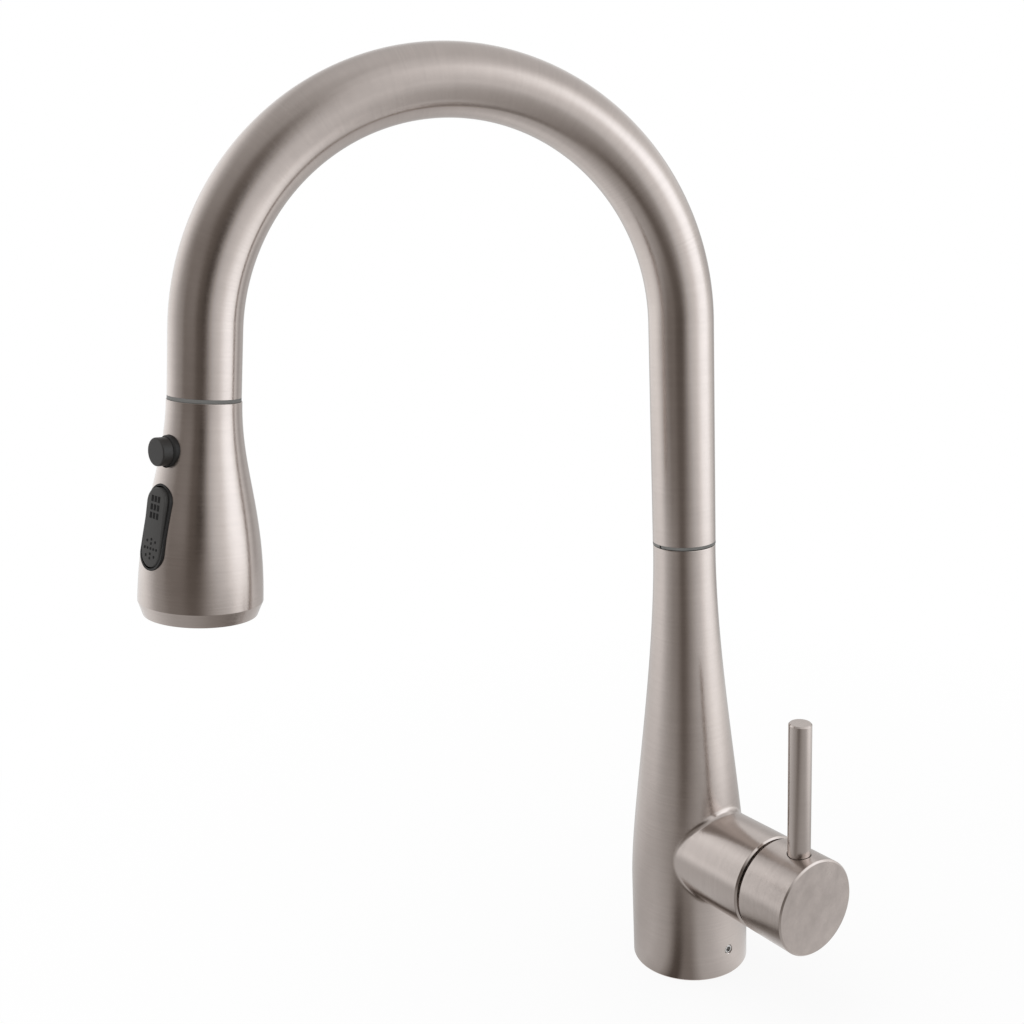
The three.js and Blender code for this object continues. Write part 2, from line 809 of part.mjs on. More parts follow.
const tubeEnd = 2 * seamHalf;
const buttonSurface = headRadiusAt(buttonPlace);
const rockerSurface = headRadiusAt(rockerPlace);
const bezelRadius = buttonRadius + runGap + bezelWall;
const rockerSlope = Math.atan(
  (headRadiusAt(rockerPlace + 1) - headRadiusAt(rockerPlace - 1)) / 2);

function dockCollar() {
  return turned([
    [dockBore, -tubeEnd + runGap],
    [spoutRadius, -tubeEnd + runGap],
    [spoutRadius, -runGap],
    [dockBore, -runGap],
  ], fine).add(turnedSleeve(spoutBore - gap, dockBore, -dockDepth, -runGap - ringThickness / 2));
}

// The rocker's pin lies across the head, under the surface. Pieces for it are made with
// z = 0 at the head's surface and their length along Y, and are tipped about the pin.
const rockerPin = new THREE.Vector3(
  0,
  rockerPinDepth * Math.cos(rockerSlope) - rockerSurface,
  -rockerPlace - rockerPinDepth * Math.sin(rockerSlope),
);

function onRocker(body, tip = 0) {
  return body
    .translate([0, 0, rockerPinDepth])
    .rotate([tip, 0, 0])
    .rotate([90 - radToDeg(rockerSlope), 0, 0])
    .translate(rockerPin.toArray());
}

const frameLength = rockerLength + 2 * (rockerEndGap + frameWall);
const frameWidth = rockerWidth + 2 * (gap + frameWall);

// The shell of the spray head, with its openings for the button and the rocker.
function headShell() {
  const outer = [[0, 0]];
  const inner = [[0, headLip]];
  const steps = 8;
  for (let i = 0; i <= steps; i += 1) {
    const p = headCurve.getPoint(i / steps);
    outer.push([p.x, p.y]);
    const wallInside = Math.min(p.x - headWall, faceBore);
    if (p.y > headLip && i % 2 === 0) inner.push([wallInside, p.y]);
  }
  outer.push([headBottomRadius, headLength], [0, headLength]);
  inner.splice(1, 0, [headRadiusAt(headLip) - headWall, headLip]);
  inner.push([faceBore, headLength + eps], [0, headLength + eps]);
  const mouth = turned([[0, -eps], [dockBore, -eps], [dockBore, headLip + eps], [0, headLip + eps]]);
  const body = turned(outer, fine).subtract(turned(inner)).subtract(mouth);
  const buttonHole = outward(bezelRadius + gap, coreRadius, 2 * headTopRadius, buttonPlace, medium);
  const rockerHole = stadium(frameLength + gap, frameWidth + gap, 2 * rockerSurface);
  return body
    .subtract(buttonHole)
    .subtract(onRocker(rockerHole.translate([0, 0, -rockerSurface / 2])));
}

// The spool slides along the head, moved by the rocker's finger. Its slot leaves room for
// the finger's own tilt.
const fingerArm = -rockerPin.y - spoolOffset;
const throwSine = Math.sin(degToRad(rockerThrow));
const spoolStroke = fingerArm * throwSine + gap;
const spoolReach = spoolLength / 2 + spoolStroke;
const fingerRoom = fingerRadius + gap + spoolRadius * throwSine;

function spoolAt(body) {
  return body.translate([0, -spoolOffset, rockerPin.z]);
}

function headCore() {
  const valveEnd = socketDepth + gap + valveLength + gap;
  const bottom = coreFlange + coreFlangeThickness;
  const body = turned([
    [0, -coreSpigot],
    [dockBore - gap, -coreSpigot],
    [dockBore - gap, headLip + gap],
    [coreRadius, headLip + gap],
    [coreRadius, coreFlange],
    [faceBore - gap, coreFlange],
    [faceBore - gap, bottom],
    [0, bottom],
  ]);
  const cuts = [
    turned([[0, -coreSpigot - eps], [socketRadius, -coreSpigot - eps],
      [socketRadius, socketDepth], [0, socketDepth]]),
    turned([[0, socketDepth - eps], [valveRadius + gap, socketDepth - eps],
      [valveRadius + gap, valveEnd], [0, valveEnd]], coarse),
    turned([[0, valveEnd - eps], [waterway, valveEnd - eps],
      [waterway, bottom + eps], [0, bottom + eps]], coarse),
    outward(plungerRadius + gap, 0, springSeat + eps, buttonPlace),
    outward(springRadius + springWire + gap, springSeat, coreRadius + eps, buttonPlace),
    spoolAt(disc(spoolRadius + gap, -spoolReach, spoolReach, coarse)),
    block(2 * (fingerRadius + gap), coreRadius, 2 * (fingerRadius + spoolStroke),
      0, -spoolOffset - coreRadius / 2, rockerPin.z),
  ];
  return cuts.reduce((rest, cut) => rest.subtract(cut), body);
}

function diverterSpool() {
  const body = disc(spoolRadius, -spoolLength / 2, spoolLength / 2, coarse);
  const slot = block(2 * spoolRadius + eps, 2 * spoolRadius, 2 * fingerRoom, 0, -spoolRadius, 0);
  return spoolAt(body.subtract(slot));
}

// A rod along the rocker's hinge axis.
function acrossRocker(radius, half = rockerWidth) {
  return rod(radius, [-half, rockerPin.y, rockerPin.z], [half, rockerPin.y, rockerPin.z]);
}

const pinHoleRadius = rockerPinRadius + runGap;

function rocker() {
  const plate = stadium(rockerLength, rockerWidth, rockerDepth, rockerBevel)
    .translate([0, 0, rockerProud - rockerDepth]);
  const finger = rod(fingerRadius, [0, -fingerTip, rockerPin.z], [0, rockerPin.y, rockerPin.z]);
  return onRocker(plate, rockerThrow / 2).add(finger).subtract(acrossRocker(pinHoleRadius));
}

function rockerFrame() {
  const height = frameDepth - frameDrop;
  const outer = stadium(frameLength, frameWidth, height);
  const inner = stadium(frameLength - 2 * frameWall, frameWidth - 2 * frameWall, height + 2 * eps);
  const frame = outer.subtract(inner.translate([0, 0, -eps])).translate([0, 0, -frameDepth]);
  return onRocker(frame).subtract(acrossRocker(pinHoleRadius));
}

function pauseButton() {
  const inner = coreRadius + buttonTravel + gap;
  const outer = buttonSurface + buttonProud;
  const body = revolve([
    [0, inner],
    [buttonRadius, inner],
    [buttonRadius, outer - buttonChamfer],
    [buttonRadius - buttonChamfer, outer],
    [0, outer],
  ]);
  return body.rotate([90, 0, 0]).translate([0, 0, -buttonPlace]);
}

function buttonBezel() {
  const body = sleeve(bezelRadius, bezelRadius - bezelWall, coreRadius + gap,
    buttonSurface + bezelProud);
  return body.rotate([90, 0, 0]).translate([0, 0, -buttonPlace]);
}

class Helix extends THREE.Curve {
  constructor(radius, length, turns) {
    super();
    this.radius = radius;
    this.length = length;
    this.turns = turns;
  }

  getPoint(t, target = new THREE.Vector3()) {
    const angle = t * this.turns * 2 * Math.PI;
    return target.set(this.radius * Math.cos(angle), this.radius * Math.sin(angle), t * this.length);
  }
}

function buttonSpring() {
  const low = springSeat + springWire + gap;
  const high = coreRadius + buttonTravel - springWire;
  const coil = tubeAlong(new Helix(springRadius, high - low, springTurns),
    springTurns * 7, springWire, 4);
  return coil.translate([0, 0, low]).rotate([90, 0, 0]).translate([0, 0, -buttonPlace]);
}

function plunger() {
  return outward(plungerRadius, plungerTip, coreRadius + buttonTravel, buttonPlace);
}

// Nozzle places on the face, in two staggered rows.
function nozzlePlaces() {
  return nozzleRows.flatMap(({ radius, count }) => {
    const places = [];
    for (let i = 0; i < count; i += 1) {
      const angle = ((i + 0.5) / count) * 2 * Math.PI;
      places.push([radius * Math.cos(angle), radius * Math.sin(angle)]);
    }
    return places;
  });
}

const padTop = coreFlange + coreFlangeThickness + gap;
const faceTop = padTop + padThickness + gap;
const faceBottom = faceTop + faceThickness;

function nozzlePad() {
  const base = turnedSleeve(faceBore - gap, aeratorRadius + gap, padTop, padTop + padThickness);
  const nub = solid(new THREE.CylinderGeometry(
    nozzleRadius, nozzleRadius * nozzleTaper, nozzleTip - padTop - eps, jetSides).rotateX(Math.PI / 2));
  return nozzlePlaces().reduce((rest, [x, y]) =>
    rest.add(nub.translate([x, y, -(nozzleTip + padTop + eps) / 2])), base);
}

function sprayFace() {
  const plate = turnedSleeve(faceBore - gap, aeratorRadius + gap, faceTop, faceBottom);
  const hole = disc(nozzleRadius + gap, -faceBottom - eps, -faceTop + eps, jetSides);
  return nozzlePlaces().reduce((rest, [x, y]) => rest.subtract(hole.translate([x, y, 0])), plate);
}

function aerator() {
  const inner = aeratorRadius - aeratorWall;
  return turned([
    [inner - aeratorLip, padTop],
    [aeratorRadius, padTop],
    [aeratorRadius, nozzleTip],
    [inner, nozzleTip],
    [inner, padTop + aeratorLipHeight],
    [inner - aeratorLip, padTop + aeratorLipHeight],
  ]);
}

function aeratorScreen() {
  const top = padTop + aeratorLipHeight + gap;
  const radius = aeratorRadius - aeratorWall - gap;
  const plate = turnedSleeve(radius, 0, top, top + screenThickness);
  const hole = disc(screenHole, -top - screenThickness - eps, -top + eps, hexagon);
  let body = plate;
  for (let i = -2; i <= 2; i += 1) {
    for (let j = -2; j <= 2; j += 1) {
      const [x, y] = [(i + j / 2) * screenPitch, j * screenPitch * Math.sqrt(0.75)];
      if (Math.hypot(x, y) + 2 * screenHole < radius) body = body.subtract(hole.translate([x, y, 0]));
    }
  }
  return body;
}

function hoseFerrule() {
  const collarLow = ferruleEnd + gap + nutLength + gap;
  return turned([
    [0, ferruleEnd - ferruleLength],
    [ferruleRadius, ferruleEnd - ferruleLength],
    [ferruleRadius, ferruleEnd],
    [hoseNeck, ferruleEnd],
    [hoseNeck, collarLow],
    [hoseCollar, collarLow],
    [hoseCollar, collarLow + collarThickness],
    [0, collarLow + collarThickness],
  ]);
}

function hoseNut() {
  const low = ferruleEnd + gap;
  return turnedSleeve(socketRadius - gap, hoseNeck + gap, low, low + nutLength);
}

add(head, 'dock_collar', greyPlastic, dockCollar());
add(head, 'hose_ferrule', bareSteel, hoseFerrule());
add(headBody, 'hose_nut', brass, hoseNut());
add(headBody, 'inlet_washer', rubber, turnedSleeve(socketRadius - gap, hoseNeck,
  socketDepth - gap - washerThickness, socketDepth - gap));
add(headBody, 'check_valve', blackPlastic, turnedSleeve(valveRadius, waterway,
  socketDepth + gap, socketDepth + gap + valveLength, coarse));
add(headBody, 'head_core', greyPlastic, headCore());
add(headBody, 'head_shell', brushedSteel, headShell());
add(headBody, 'button_bezel', blackPlastic, buttonBezel());
add(headBody, 'pause_button', blackPlastic, pauseButton());
add(headBody, 'pause_plunger', bareSteel, plunger());
add(headBody, 'button_spring', bareSteel, buttonSpring());
add(headBody, 'rocker_frame', blackPlastic, rockerFrame());
add(headBody, 'rocker', blackPlastic, rocker());
add(headBody, 'rocker_pin', bareSteel, acrossRocker(rockerPinRadius, frameWidth / 2 - runGap));
add(headBody, 'diverter_spool', brass, diverterSpool());
add(headBody, 'nozzle_pad', rubber, nozzlePad());
add(headBody, 'spray_face', blackPlastic, sprayFace());
add(headBody, 'aerator', greyPlastic, aerator());
add(headBody, 'aerator_screen', bareSteel, aeratorScreen());

// ---------------------------------------------------------------- hose

// In the body the hose stands beside the cartridge boss, then leans over to the axis.
const lowerRoute = new THREE.CatmullRomCurve3([
  new THREE.Vector3(hoseOffset, 0, gap),
  new THREE.Vector3(hoseOffset, 0, 45),
  new THREE.Vector3(hoseOffset, 0, 80),
  new THREE.Vector3(-5, 0, 105),
  new THREE.Vector3(0, 0, 130),
  new THREE.Vector3(0, 0, hoseSplit - gap / 2),
]);
const hoseEnd = spoutLength + 2 * seamHalf + ferruleEnd - ferruleLength - gap;

add(faucet, 'spray_hose_lower', braid, tubeAlong(lowerRoute, 12, hoseRadius, hoseSides));
add(spout, 'spray_hose_upper', braid, tubeAlong(
  new Gooseneck(hoseSplit + gap / 2 - spoutLow, hoseEnd - hosePull - gap),
  hoseSteps, hoseRadius, hoseSides));
add(spout, 'spray_hose_end', braid, tubeAlong(
  new Gooseneck(hoseEnd - hosePull, hoseEnd), 2, hoseRadius, hoseSides));

export default faucet;
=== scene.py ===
# Looks of the pull-down kitchen faucet: a brushed metal body with a side lever, a turning
# gooseneck spout, and a spray head that pulls out on a braided hose.
# Sizes in the sections are millimetres; finished meshes are metres.

import json
import math

import bmesh
import bpy
from mathutils import Matrix, Vector


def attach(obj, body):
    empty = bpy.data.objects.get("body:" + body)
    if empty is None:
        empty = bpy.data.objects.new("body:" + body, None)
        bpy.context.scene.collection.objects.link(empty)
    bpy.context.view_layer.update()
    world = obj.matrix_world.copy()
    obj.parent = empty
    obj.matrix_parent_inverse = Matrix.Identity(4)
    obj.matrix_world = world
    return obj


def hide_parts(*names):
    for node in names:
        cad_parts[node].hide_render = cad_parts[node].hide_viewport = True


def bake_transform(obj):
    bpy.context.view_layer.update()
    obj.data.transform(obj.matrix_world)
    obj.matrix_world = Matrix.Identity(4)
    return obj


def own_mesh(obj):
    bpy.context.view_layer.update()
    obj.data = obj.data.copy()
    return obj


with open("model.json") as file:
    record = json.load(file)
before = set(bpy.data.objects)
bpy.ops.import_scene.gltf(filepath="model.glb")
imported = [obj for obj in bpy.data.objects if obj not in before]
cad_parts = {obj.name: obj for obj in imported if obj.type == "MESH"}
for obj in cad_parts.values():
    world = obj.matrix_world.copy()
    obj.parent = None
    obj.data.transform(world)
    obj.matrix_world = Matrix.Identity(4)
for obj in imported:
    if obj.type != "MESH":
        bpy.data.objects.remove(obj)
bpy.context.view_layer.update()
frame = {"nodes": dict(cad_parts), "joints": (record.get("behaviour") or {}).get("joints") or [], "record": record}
joints = {joint["name"]: joint for joint in frame["joints"]}


# ---------------------------------------------------------------- camera
# A standard lens in front of the faucet and to the right of it, looking down a little.

camera_data = bpy.data.cameras.new("camera")
camera_data.lens = 43.57
camera_data.shift_y = 0.0164
camera_data.clip_end = 20
camera = bpy.data.objects.new("camera", camera_data)
bpy.context.collection.objects.link(camera)
bpy.context.scene.camera = camera

camera_place = Vector((0.41155, -0.36630, 0.35777))
heading = math.radians(56.48)
lowered = math.radians(14.26)
leaning = math.radians(-2.836)
camera.matrix_world = (
    Matrix.Translation(camera_place)
    @ Matrix.Rotation(heading, 4, "Z")
    @ Matrix.Rotation(math.pi / 2 - lowered, 4, "X")
    @ Matrix.Rotation(leaning, 4, "Z")
)


# ---------------------------------------------------------------- studio
# A pale floor, a white room, and round the faucet a tent wall whose panels run from
# bright to dark, which is what brushed metal shows as streaks. The tent is only mirrored.

class Wire:
    """A node's output, with the arithmetic that the finishes need."""

    def __init__(self, finish, socket):
        self.finish = finish
        self.socket = socket

    def math(self, operation, *others):
        values = dict(enumerate((self, *others)))
        return self.finish.node("ShaderNodeMath", {"operation": operation}, values)

    def __add__(self, other):
        return self.math("ADD", other)

    __radd__ = __add__

    def __mul__(self, other):
        return self.math("MULTIPLY", other)

    __rmul__ = __mul__

    def __sub__(self, other):
        return self.math("SUBTRACT", other)

    def __rsub__(self, other):
        return self.finish.node("ShaderNodeMath", {"operation": "SUBTRACT"}, {0: other, 1: self})

    def __truediv__(self, other):
        return self.math("DIVIDE", other)


class Finish:
    """A material or the room, to which node() adds a node of any kind."""

    def __init__(self, tree):
        self.tree = tree

    def node(self, kind, settings=None, values=None, output=0):
        made = self.tree.nodes.new(kind)
        for name, value in (settings or {}).items():
            if name == "stops":
                self.stops(made.color_ramp, value)
            else:
                setattr(made, name, value)
        for name, value in (values or {}).items():
            self.feed(made.inputs[name], value)
        return Wire(self, made.outputs[output] if made.outputs else None)

    def stops(self, ramp, stops):
        while len(ramp.elements) < len(stops):
            ramp.elements.new(1.0)
        for element, (place, colour) in zip(ramp.elements, stops):
            element.position = place
            element.color = (*colour, 1)

    def scaled(self, colour, share):
        return self.node(
            "ShaderNodeVectorMath", {"operation": "SCALE"}, {0: colour, "Scale": share})

    def feed(self, socket, value):
        if isinstance(value, Wire):
            self.tree.links.new(value.socket, socket)
        else:
            socket.default_value = value


def studio_material(name):
    material = bpy.data.materials.new(name)
    material.use_nodes = True
    material.node_tree.nodes.clear()
    return material, Finish(material.node_tree)


def seen_directly(finish):
    """1 for rays from the camera, from gloss and through glass."""
    total = finish.node("ShaderNodeLightPath", output="Is Camera Ray")
    for ray in ("Is Glossy Ray", "Is Transmission Ray"):
        total = total + finish.node("ShaderNodeLightPath", output=ray)
    return total.math("MINIMUM", 1.0)


def stage_object(name, shape, material):
    mesh = bpy.data.meshes.new(name)
    shape.to_mesh(mesh)
    shape.free()
    mesh.materials.append(material)
    made = bpy.data.objects.new(name, mesh)
    bpy.context.collection.objects.link(made)
    return made


bpy.context.scene.view_settings.view_transform = "Standard"
white = (1, 1, 1, 1)

floor_reach = 6
floor_grey = (0.8, 0.8, 0.8, 1)
floor_shape = bmesh.new()
bmesh.ops.create_grid(floor_shape, x_segments=1, y_segments=1, size=floor_reach)
floor_material, floor_finish = studio_material("floor")
floor_pale = floor_finish.node("ShaderNodeBsdfDiffuse", values={"Color": floor_grey})
floor_white = floor_finish.node(
    "ShaderNodeEmission", values={"Color": white, "Strength": 1.0})
floor_spot = floor_finish.node("ShaderNodeTexCoord", output="Object")
floor_far = floor_finish.node("ShaderNodeVectorMath", {"operation": "LENGTH"}, {0: floor_spot}, 1)
floor_share = (floor_far * 0.2 + 0.9).math("MINIMUM", 1.0)
floor_lift = seen_directly(floor_finish) * floor_share
floor_mix = floor_finish.node(
    "ShaderNodeMixShader", values={0: floor_lift, 1: floor_pale, 2: floor_white})
floor_finish.node("ShaderNodeOutputMaterial", values={"Surface": floor_mix})
stage_object("floor", floor_shape, floor_material)

# One ring of panels for each distance over the tent's floor and up its wall, each panel
# with its bearing in degrees and its light. The lights are fitted to the photograph: first
# read off a printout of its brightness in each direction, and then corrected.
tent_radius = 0.9
tent_height = 1.0
tent_strength = 2.0
tent_rings = [
    (0.05, [(-180, 0.62), (-140, 0.58), (-104, 0.64), (-90, 0.56), (-77, 0.48), (-70, 0.32),
            (-63, 0.12), (-56, 0.10), (-50, 0.24), (-40, 0.26), (-28, 0.54), (-10, 0.66),
            (8, 0.84), (22, 0.92), (40, 0.88), (60, 0.78), (75, 0.58), (150, 0.60)]),
    (0.20, [(-180, 0.84), (-150, 0.76), (-130, 0.62), (-105, 0.56), (-85, 0.46), (-70, 0.36),
            (-60, 0.28), (-50, 0.32), (-38, 0.42), (0, 0.50), (22, 0.55), (34, 0.66),
            (46, 0.72), (60, 0.62), (75, 0.56), (150, 0.64)]),
    (0.42, [(-180, 0.78), (-136, 0.84), (-122, 0.80), (-110, 0.64), (-98, 0.52), (-70, 0.42),
            (-62, 0.30), (-53, 0.17), (-46, 0.17), (-40, 0.27), (-20, 0.46), (2, 0.54),
            (14, 0.72), (28, 1.10), (40, 1.26), (52, 1.25), (66, 1.06), (96, 0.84),
            (120, 0.68), (150, 0.60)]),
    (0.66, [(-180, 0.92), (-138, 0.96), (-124, 0.90), (-110, 0.72), (-96, 0.55), (-86, 0.46),
            (-70, 0.38), (-61, 0.28), (-52, 0.16), (-44, 0.16), (-34, 0.28), (-18, 0.46),
            (-4, 0.58), (14, 0.80), (24, 0.98), (35, 1.22), (46, 1.32), (64, 1.30),
            (80, 1.00), (96, 0.62), (106, 0.50), (124, 0.60), (150, 0.56)]),
    (0.98, [(-180, 0.92), (-142, 1.08), (-128, 1.02), (-118, 0.80), (-108, 0.52), (-100, 0.41),
            (-90, 0.38), (-86, 0.27), (-68, 0.24), (-54, 0.16), (-40, 0.16), (-26, 0.32),
            (-12, 0.54), (0, 0.76), (12, 0.86), (24, 1.18), (36, 1.46), (57, 1.56),
            (65, 1.40), (77, 1.04), (92, 0.80), (106, 0.50), (124, 0.64), (150, 0.56)]),
    (1.12, [(-180, 1.12), (-146, 1.18), (-134, 1.04), (-124, 0.80), (-113, 0.53), (-106, 0.40),
            (-97, 0.38), (-92, 0.24), (-64, 0.21), (-58, 0.14), (-38, 0.12), (-31, 0.24),
            (-24, 0.40), (-13, 0.72), (0, 0.86), (12, 0.98), (26, 1.40), (36, 1.56),
            (54, 1.62), (64, 1.36), (76, 1.00), (90, 0.78), (106, 0.52), (124, 0.62),
            (150, 0.56)]),
    (1.30, [(-180, 1.00), (-150, 1.06), (-136, 1.02), (-124, 0.79), (-112, 0.55), (-102, 0.43),
            (-95, 0.38), (-92, 0.23), (-86, 0.27), (-68, 0.30), (-61, 0.25), (-57, 0.14),
            (-47, 0.15), (-42, 0.06), (-33, 0.07), (-26, 0.30), (-18, 0.62), (-8, 0.78),
            (2, 0.90), (14, 0.96), (28, 1.42), (38, 1.62), (58, 1.64), (68, 1.04),
            (78, 0.78), (104, 0.58), (124, 0.62), (150, 0.58)]),
    (1.55, [(-180, 1.10), (-150, 1.22), (-138, 1.06), (-126, 0.80), (-112, 0.46), (-99, 0.29),
            (-70, 0.27), (-56, 0.16), (-38, 0.16), (-28, 0.38), (-16, 0.76), (0, 0.98),
            (10, 1.20), (22, 1.62), (32, 1.76), (50, 1.74), (62, 1.30), (76, 0.94), (150, 0.88)]),
    (1.85, [(-180, 0.70), (-152, 1.04), (-136, 0.96), (-118, 0.62), (-98, 0.38), (-68, 0.38),
            (-44, 0.23), (-34, 0.34), (-20, 0.80), (0, 1.04), (20, 1.32), (36, 1.22),
            (54, 0.90), (90, 0.78), (150, 0.82)]),
    (2.30, [(-180, 0.64), (-130, 0.52), (-70, 0.46), (-45, 0.54), (-28, 0.80), (20, 0.82),
            (50, 0.70), (120, 0.72)]),
    (2.60, [(-180, 0.69)]),
]


def panel_colour(light):
    """Panels are warm where they are dark and a little cool where they are brightest."""
    dark = (1 - min(light, 1)) ** 3
    bright = max(light - 1.1, 0)
    green = 1 - 0.20 * dark + 0.06 * bright
    blue = 1 - 0.34 * dark + 0.13 * bright
    return tuple(share * light / tent_strength for share in (1, green, blue))


def ring_of_panels(finish, share, panels):
    stops = [((angle + 180) / 360, panel_colour(light)) for angle, light in panels]
    stops.append((1.0, panel_colour(panels[0][1])))
    return finish.node("ShaderNodeValToRGB", {"stops": stops}, {0: share})


tent_shape = bmesh.new()
tent_course = tent_shape.verts.layers.float.new("course")
tent_floor = 0.0004
tent_edge = [
    (0, tent_floor), (tent_radius, tent_floor), (tent_radius, tent_height), (0, tent_height)]
course = 0.0
for (x, z), (x_before, z_before) in zip(tent_edge, tent_edge[:1] + tent_edge):
    course += math.hypot(x - x_before, z - z_before)
    tent_shape.verts.new((x, 0, z))[tent_course] = course
tent_verts = list(tent_shape.verts)
tent_edges = [tent_shape.edges.new(pair) for pair in zip(tent_verts, tent_verts[1:])]
bmesh.ops.spin(
    tent_shape, geom=tent_verts + tent_edges, axis=(0, 0, 1), cent=(0, 0, 0),
    angle=2 * math.pi, steps=160, use_merge=True)

tent_material, tent_finish = studio_material("tent")
tent_spot = tent_finish.node(
    "ShaderNodeSeparateXYZ", values={0: tent_finish.node("ShaderNodeTexCoord", output="Object")})
tent_y = Wire(tent_finish, tent_spot.socket.node.outputs[1])
tent_turn = tent_y.math("ARCTAN2", tent_spot) / (2 * math.pi) + 0.5
tent_place = tent_finish.node("ShaderNodeAttribute", {"attribute_name": "course"}, output="Fac")
tent_colour = ring_of_panels(tent_finish, tent_turn, tent_rings[0][1])
for (start, _), (end, panels) in zip(tent_rings, tent_rings[1:]):
    share = ((tent_place - start) / (end - start)).math("MAXIMUM", 0.0).math("MINIMUM", 1.0)
    tent_colour = tent_finish.node(
        "ShaderNodeMix", {"data_type": "RGBA"},
        {0: share, 6: tent_colour, 7: ring_of_panels(tent_finish, tent_turn, panels)}, 2)
tent_glow = tent_finish.node(
    "ShaderNodeEmission", values={"Color": tent_colour, "Strength": tent_strength})
tent_finish.node("ShaderNodeOutputMaterial", values={"Surface": tent_glow})
tent = stage_object("tent", tent_shape, tent_material)
tent.visible_camera = False
tent.visible_diffuse = False
tent.visible_shadow = False
tent.visible_transmission = False

world = bpy.data.worlds.new("room")
world.use_nodes = True
world.node_tree.nodes.clear()
bpy.context.scene.world = world
room = Finish(world.node_tree)
room_light = room.node("ShaderNodeBackground", values={"Color": white, "Strength": 0.75})
room_white = room.node("ShaderNodeBackground", values={"Color": white, "Strength": 1.0})
room_mix = room.node(
    "ShaderNodeMixShader", values={0: seen_directly(room), 1: room_light, 2: room_white})
room.node("ShaderNodeOutputWorld", values={"Surface": room_mix})

softbox_data = bpy.data.lights.new("top_softbox", "AREA")
softbox_data.shape = "DISK"
softbox_data.size = 1.2
softbox_data.energy = 9
softbox_place = Vector((-0.3, -0.5, 1.5))
softbox_aim = Vector((0, -0.1, 0.2)) - softbox_place
softbox = bpy.data.objects.new("top_softbox", softbox_data)
softbox.location = softbox_place
softbox.rotation_euler = softbox_aim.to_track_quat("-Z", "Y").to_euler()
bpy.context.collection.objects.link(softbox)
softbox.visible_glossy = False


# ---------------------------------------------------------------- body
# A cast and turned body: a straight foot, one long S-shaped waist up to the neck, and a
# side barrel for the cartridge, blended on by a fillet. All brushed as one.

mm = 0.001
steel_colour = (0.57, 0.511, 0.479)
groove_depth = 0.000026

body_radius = 27.6
body_straight = 39.0
neck_radius = 14.1
body_top = 208.4
foot_reach = 37.0
neck_reach = 61.6
foot_bore = 23.6
neck_bore = 12.1
waist_bore = 13.0
waist_bore_low = 150
waist_bore_high = 165
edge_round = 0.35

barrel_height = joints["lever_temperature"]["pos_m"][2] / mm
barrel_radius = 22.0
barrel_root = 10.0
barrel_start = 16.0
barrel_end = 55.0
barrel_bevel = 0.8
barrel_fillet = 3.0
barrel_shows = 20
side_margin = 1.6
cartridge_bore = 17.8
cartridge_floor = 24.0
gasket_inner = 24.5
gasket_outer = 26.7
gasket_slack = 0.15
gasket_groove = 1.5

screw_radius = 2.0
screw_height = 13.0
screw_slack = 0.12
screw_sink_deep = 1.0
screw_sink_wide = 0.95

here = Matrix.Identity(4)
screw_place = Matrix.Translation((0, 0, screw_height)) @ Matrix.Rotation(math.pi / 2, 4, "Y")
along_x = Matrix.Translation((0, 0, barrel_height)) @ Matrix.Rotation(math.pi / 2, 4, "Y")


def principled(name):
    material = bpy.data.materials.new(name)
    material.use_nodes = True
    finish = Finish(material.node_tree)
    shader = material.node_tree.nodes["Principled BSDF"]
    return material, finish, shader


def brushed_steel(name, cloudy=1.0):
    """Warm grey stainless steel. Its fine grooves spread what it mirrors along the form, a few
    deeper ones show as faint lines, and it is a little cloudy."""
    material, finish, shader = principled(name)
    grain = finish.node("ShaderNodeAttribute", {"attribute_name": "grain"}, output="Vector")

    def brushing(lengthwise, across, detail):
        stretched = finish.node(
            "ShaderNodeVectorMath", {"operation": "MULTIPLY"},
            {0: grain, 1: (lengthwise, lengthwise, across)})
        return finish.node(
            "ShaderNodeTexNoise", {"noise_dimensions": "3D"},
            {"Vector": stretched, "Scale": 1.0, "Detail": detail, "Roughness": 0.6})

    fine = brushing(0.15, 22.0, 1.0)
    lines = brushing(0.025, 1.5, 3.0)
    clouds = brushing(0.14, 0.14, 3.0)
    height = fine * 0.4 + lines * 0.35
    bump = finish.node(
        "ShaderNodeBump", {}, {"Height": height, "Distance": groove_depth, "Strength": 1.0})
    tone = lines * 0.13 + clouds * (0.10 * cloudy) + (0.935 - 0.05 * cloudy)
    finish.feed(shader.inputs["Base Color"], finish.scaled(steel_colour, tone))
    finish.feed(shader.inputs["Roughness"], lines * 0.06 + clouds * (0.06 * cloudy) + 0.09)
    finish.feed(shader.inputs["Normal"], bump)
    shader.inputs["Metallic"].default_value = 1.0
    return material


steel = brushed_steel("brushed_steel")


def bezier(start, leave, arrive, end, steps):
    """Points along a cubic curve, without its last one."""
    made = []
    for step in range(steps):
        t = step / steps
        made.append(
            start * (1 - t) ** 3 + leave * (3 * t * (1 - t) ** 2)
            + arrive * (3 * t * t * (1 - t)) + end * t ** 3)
    return made


def straight(start, end, steps):
    """Points along a straight line, without its last one."""
    return [Vector(start).lerp(Vector(end), step / steps) for step in range(steps)]


corner_limit = math.radians(12)
corner_steps = 4


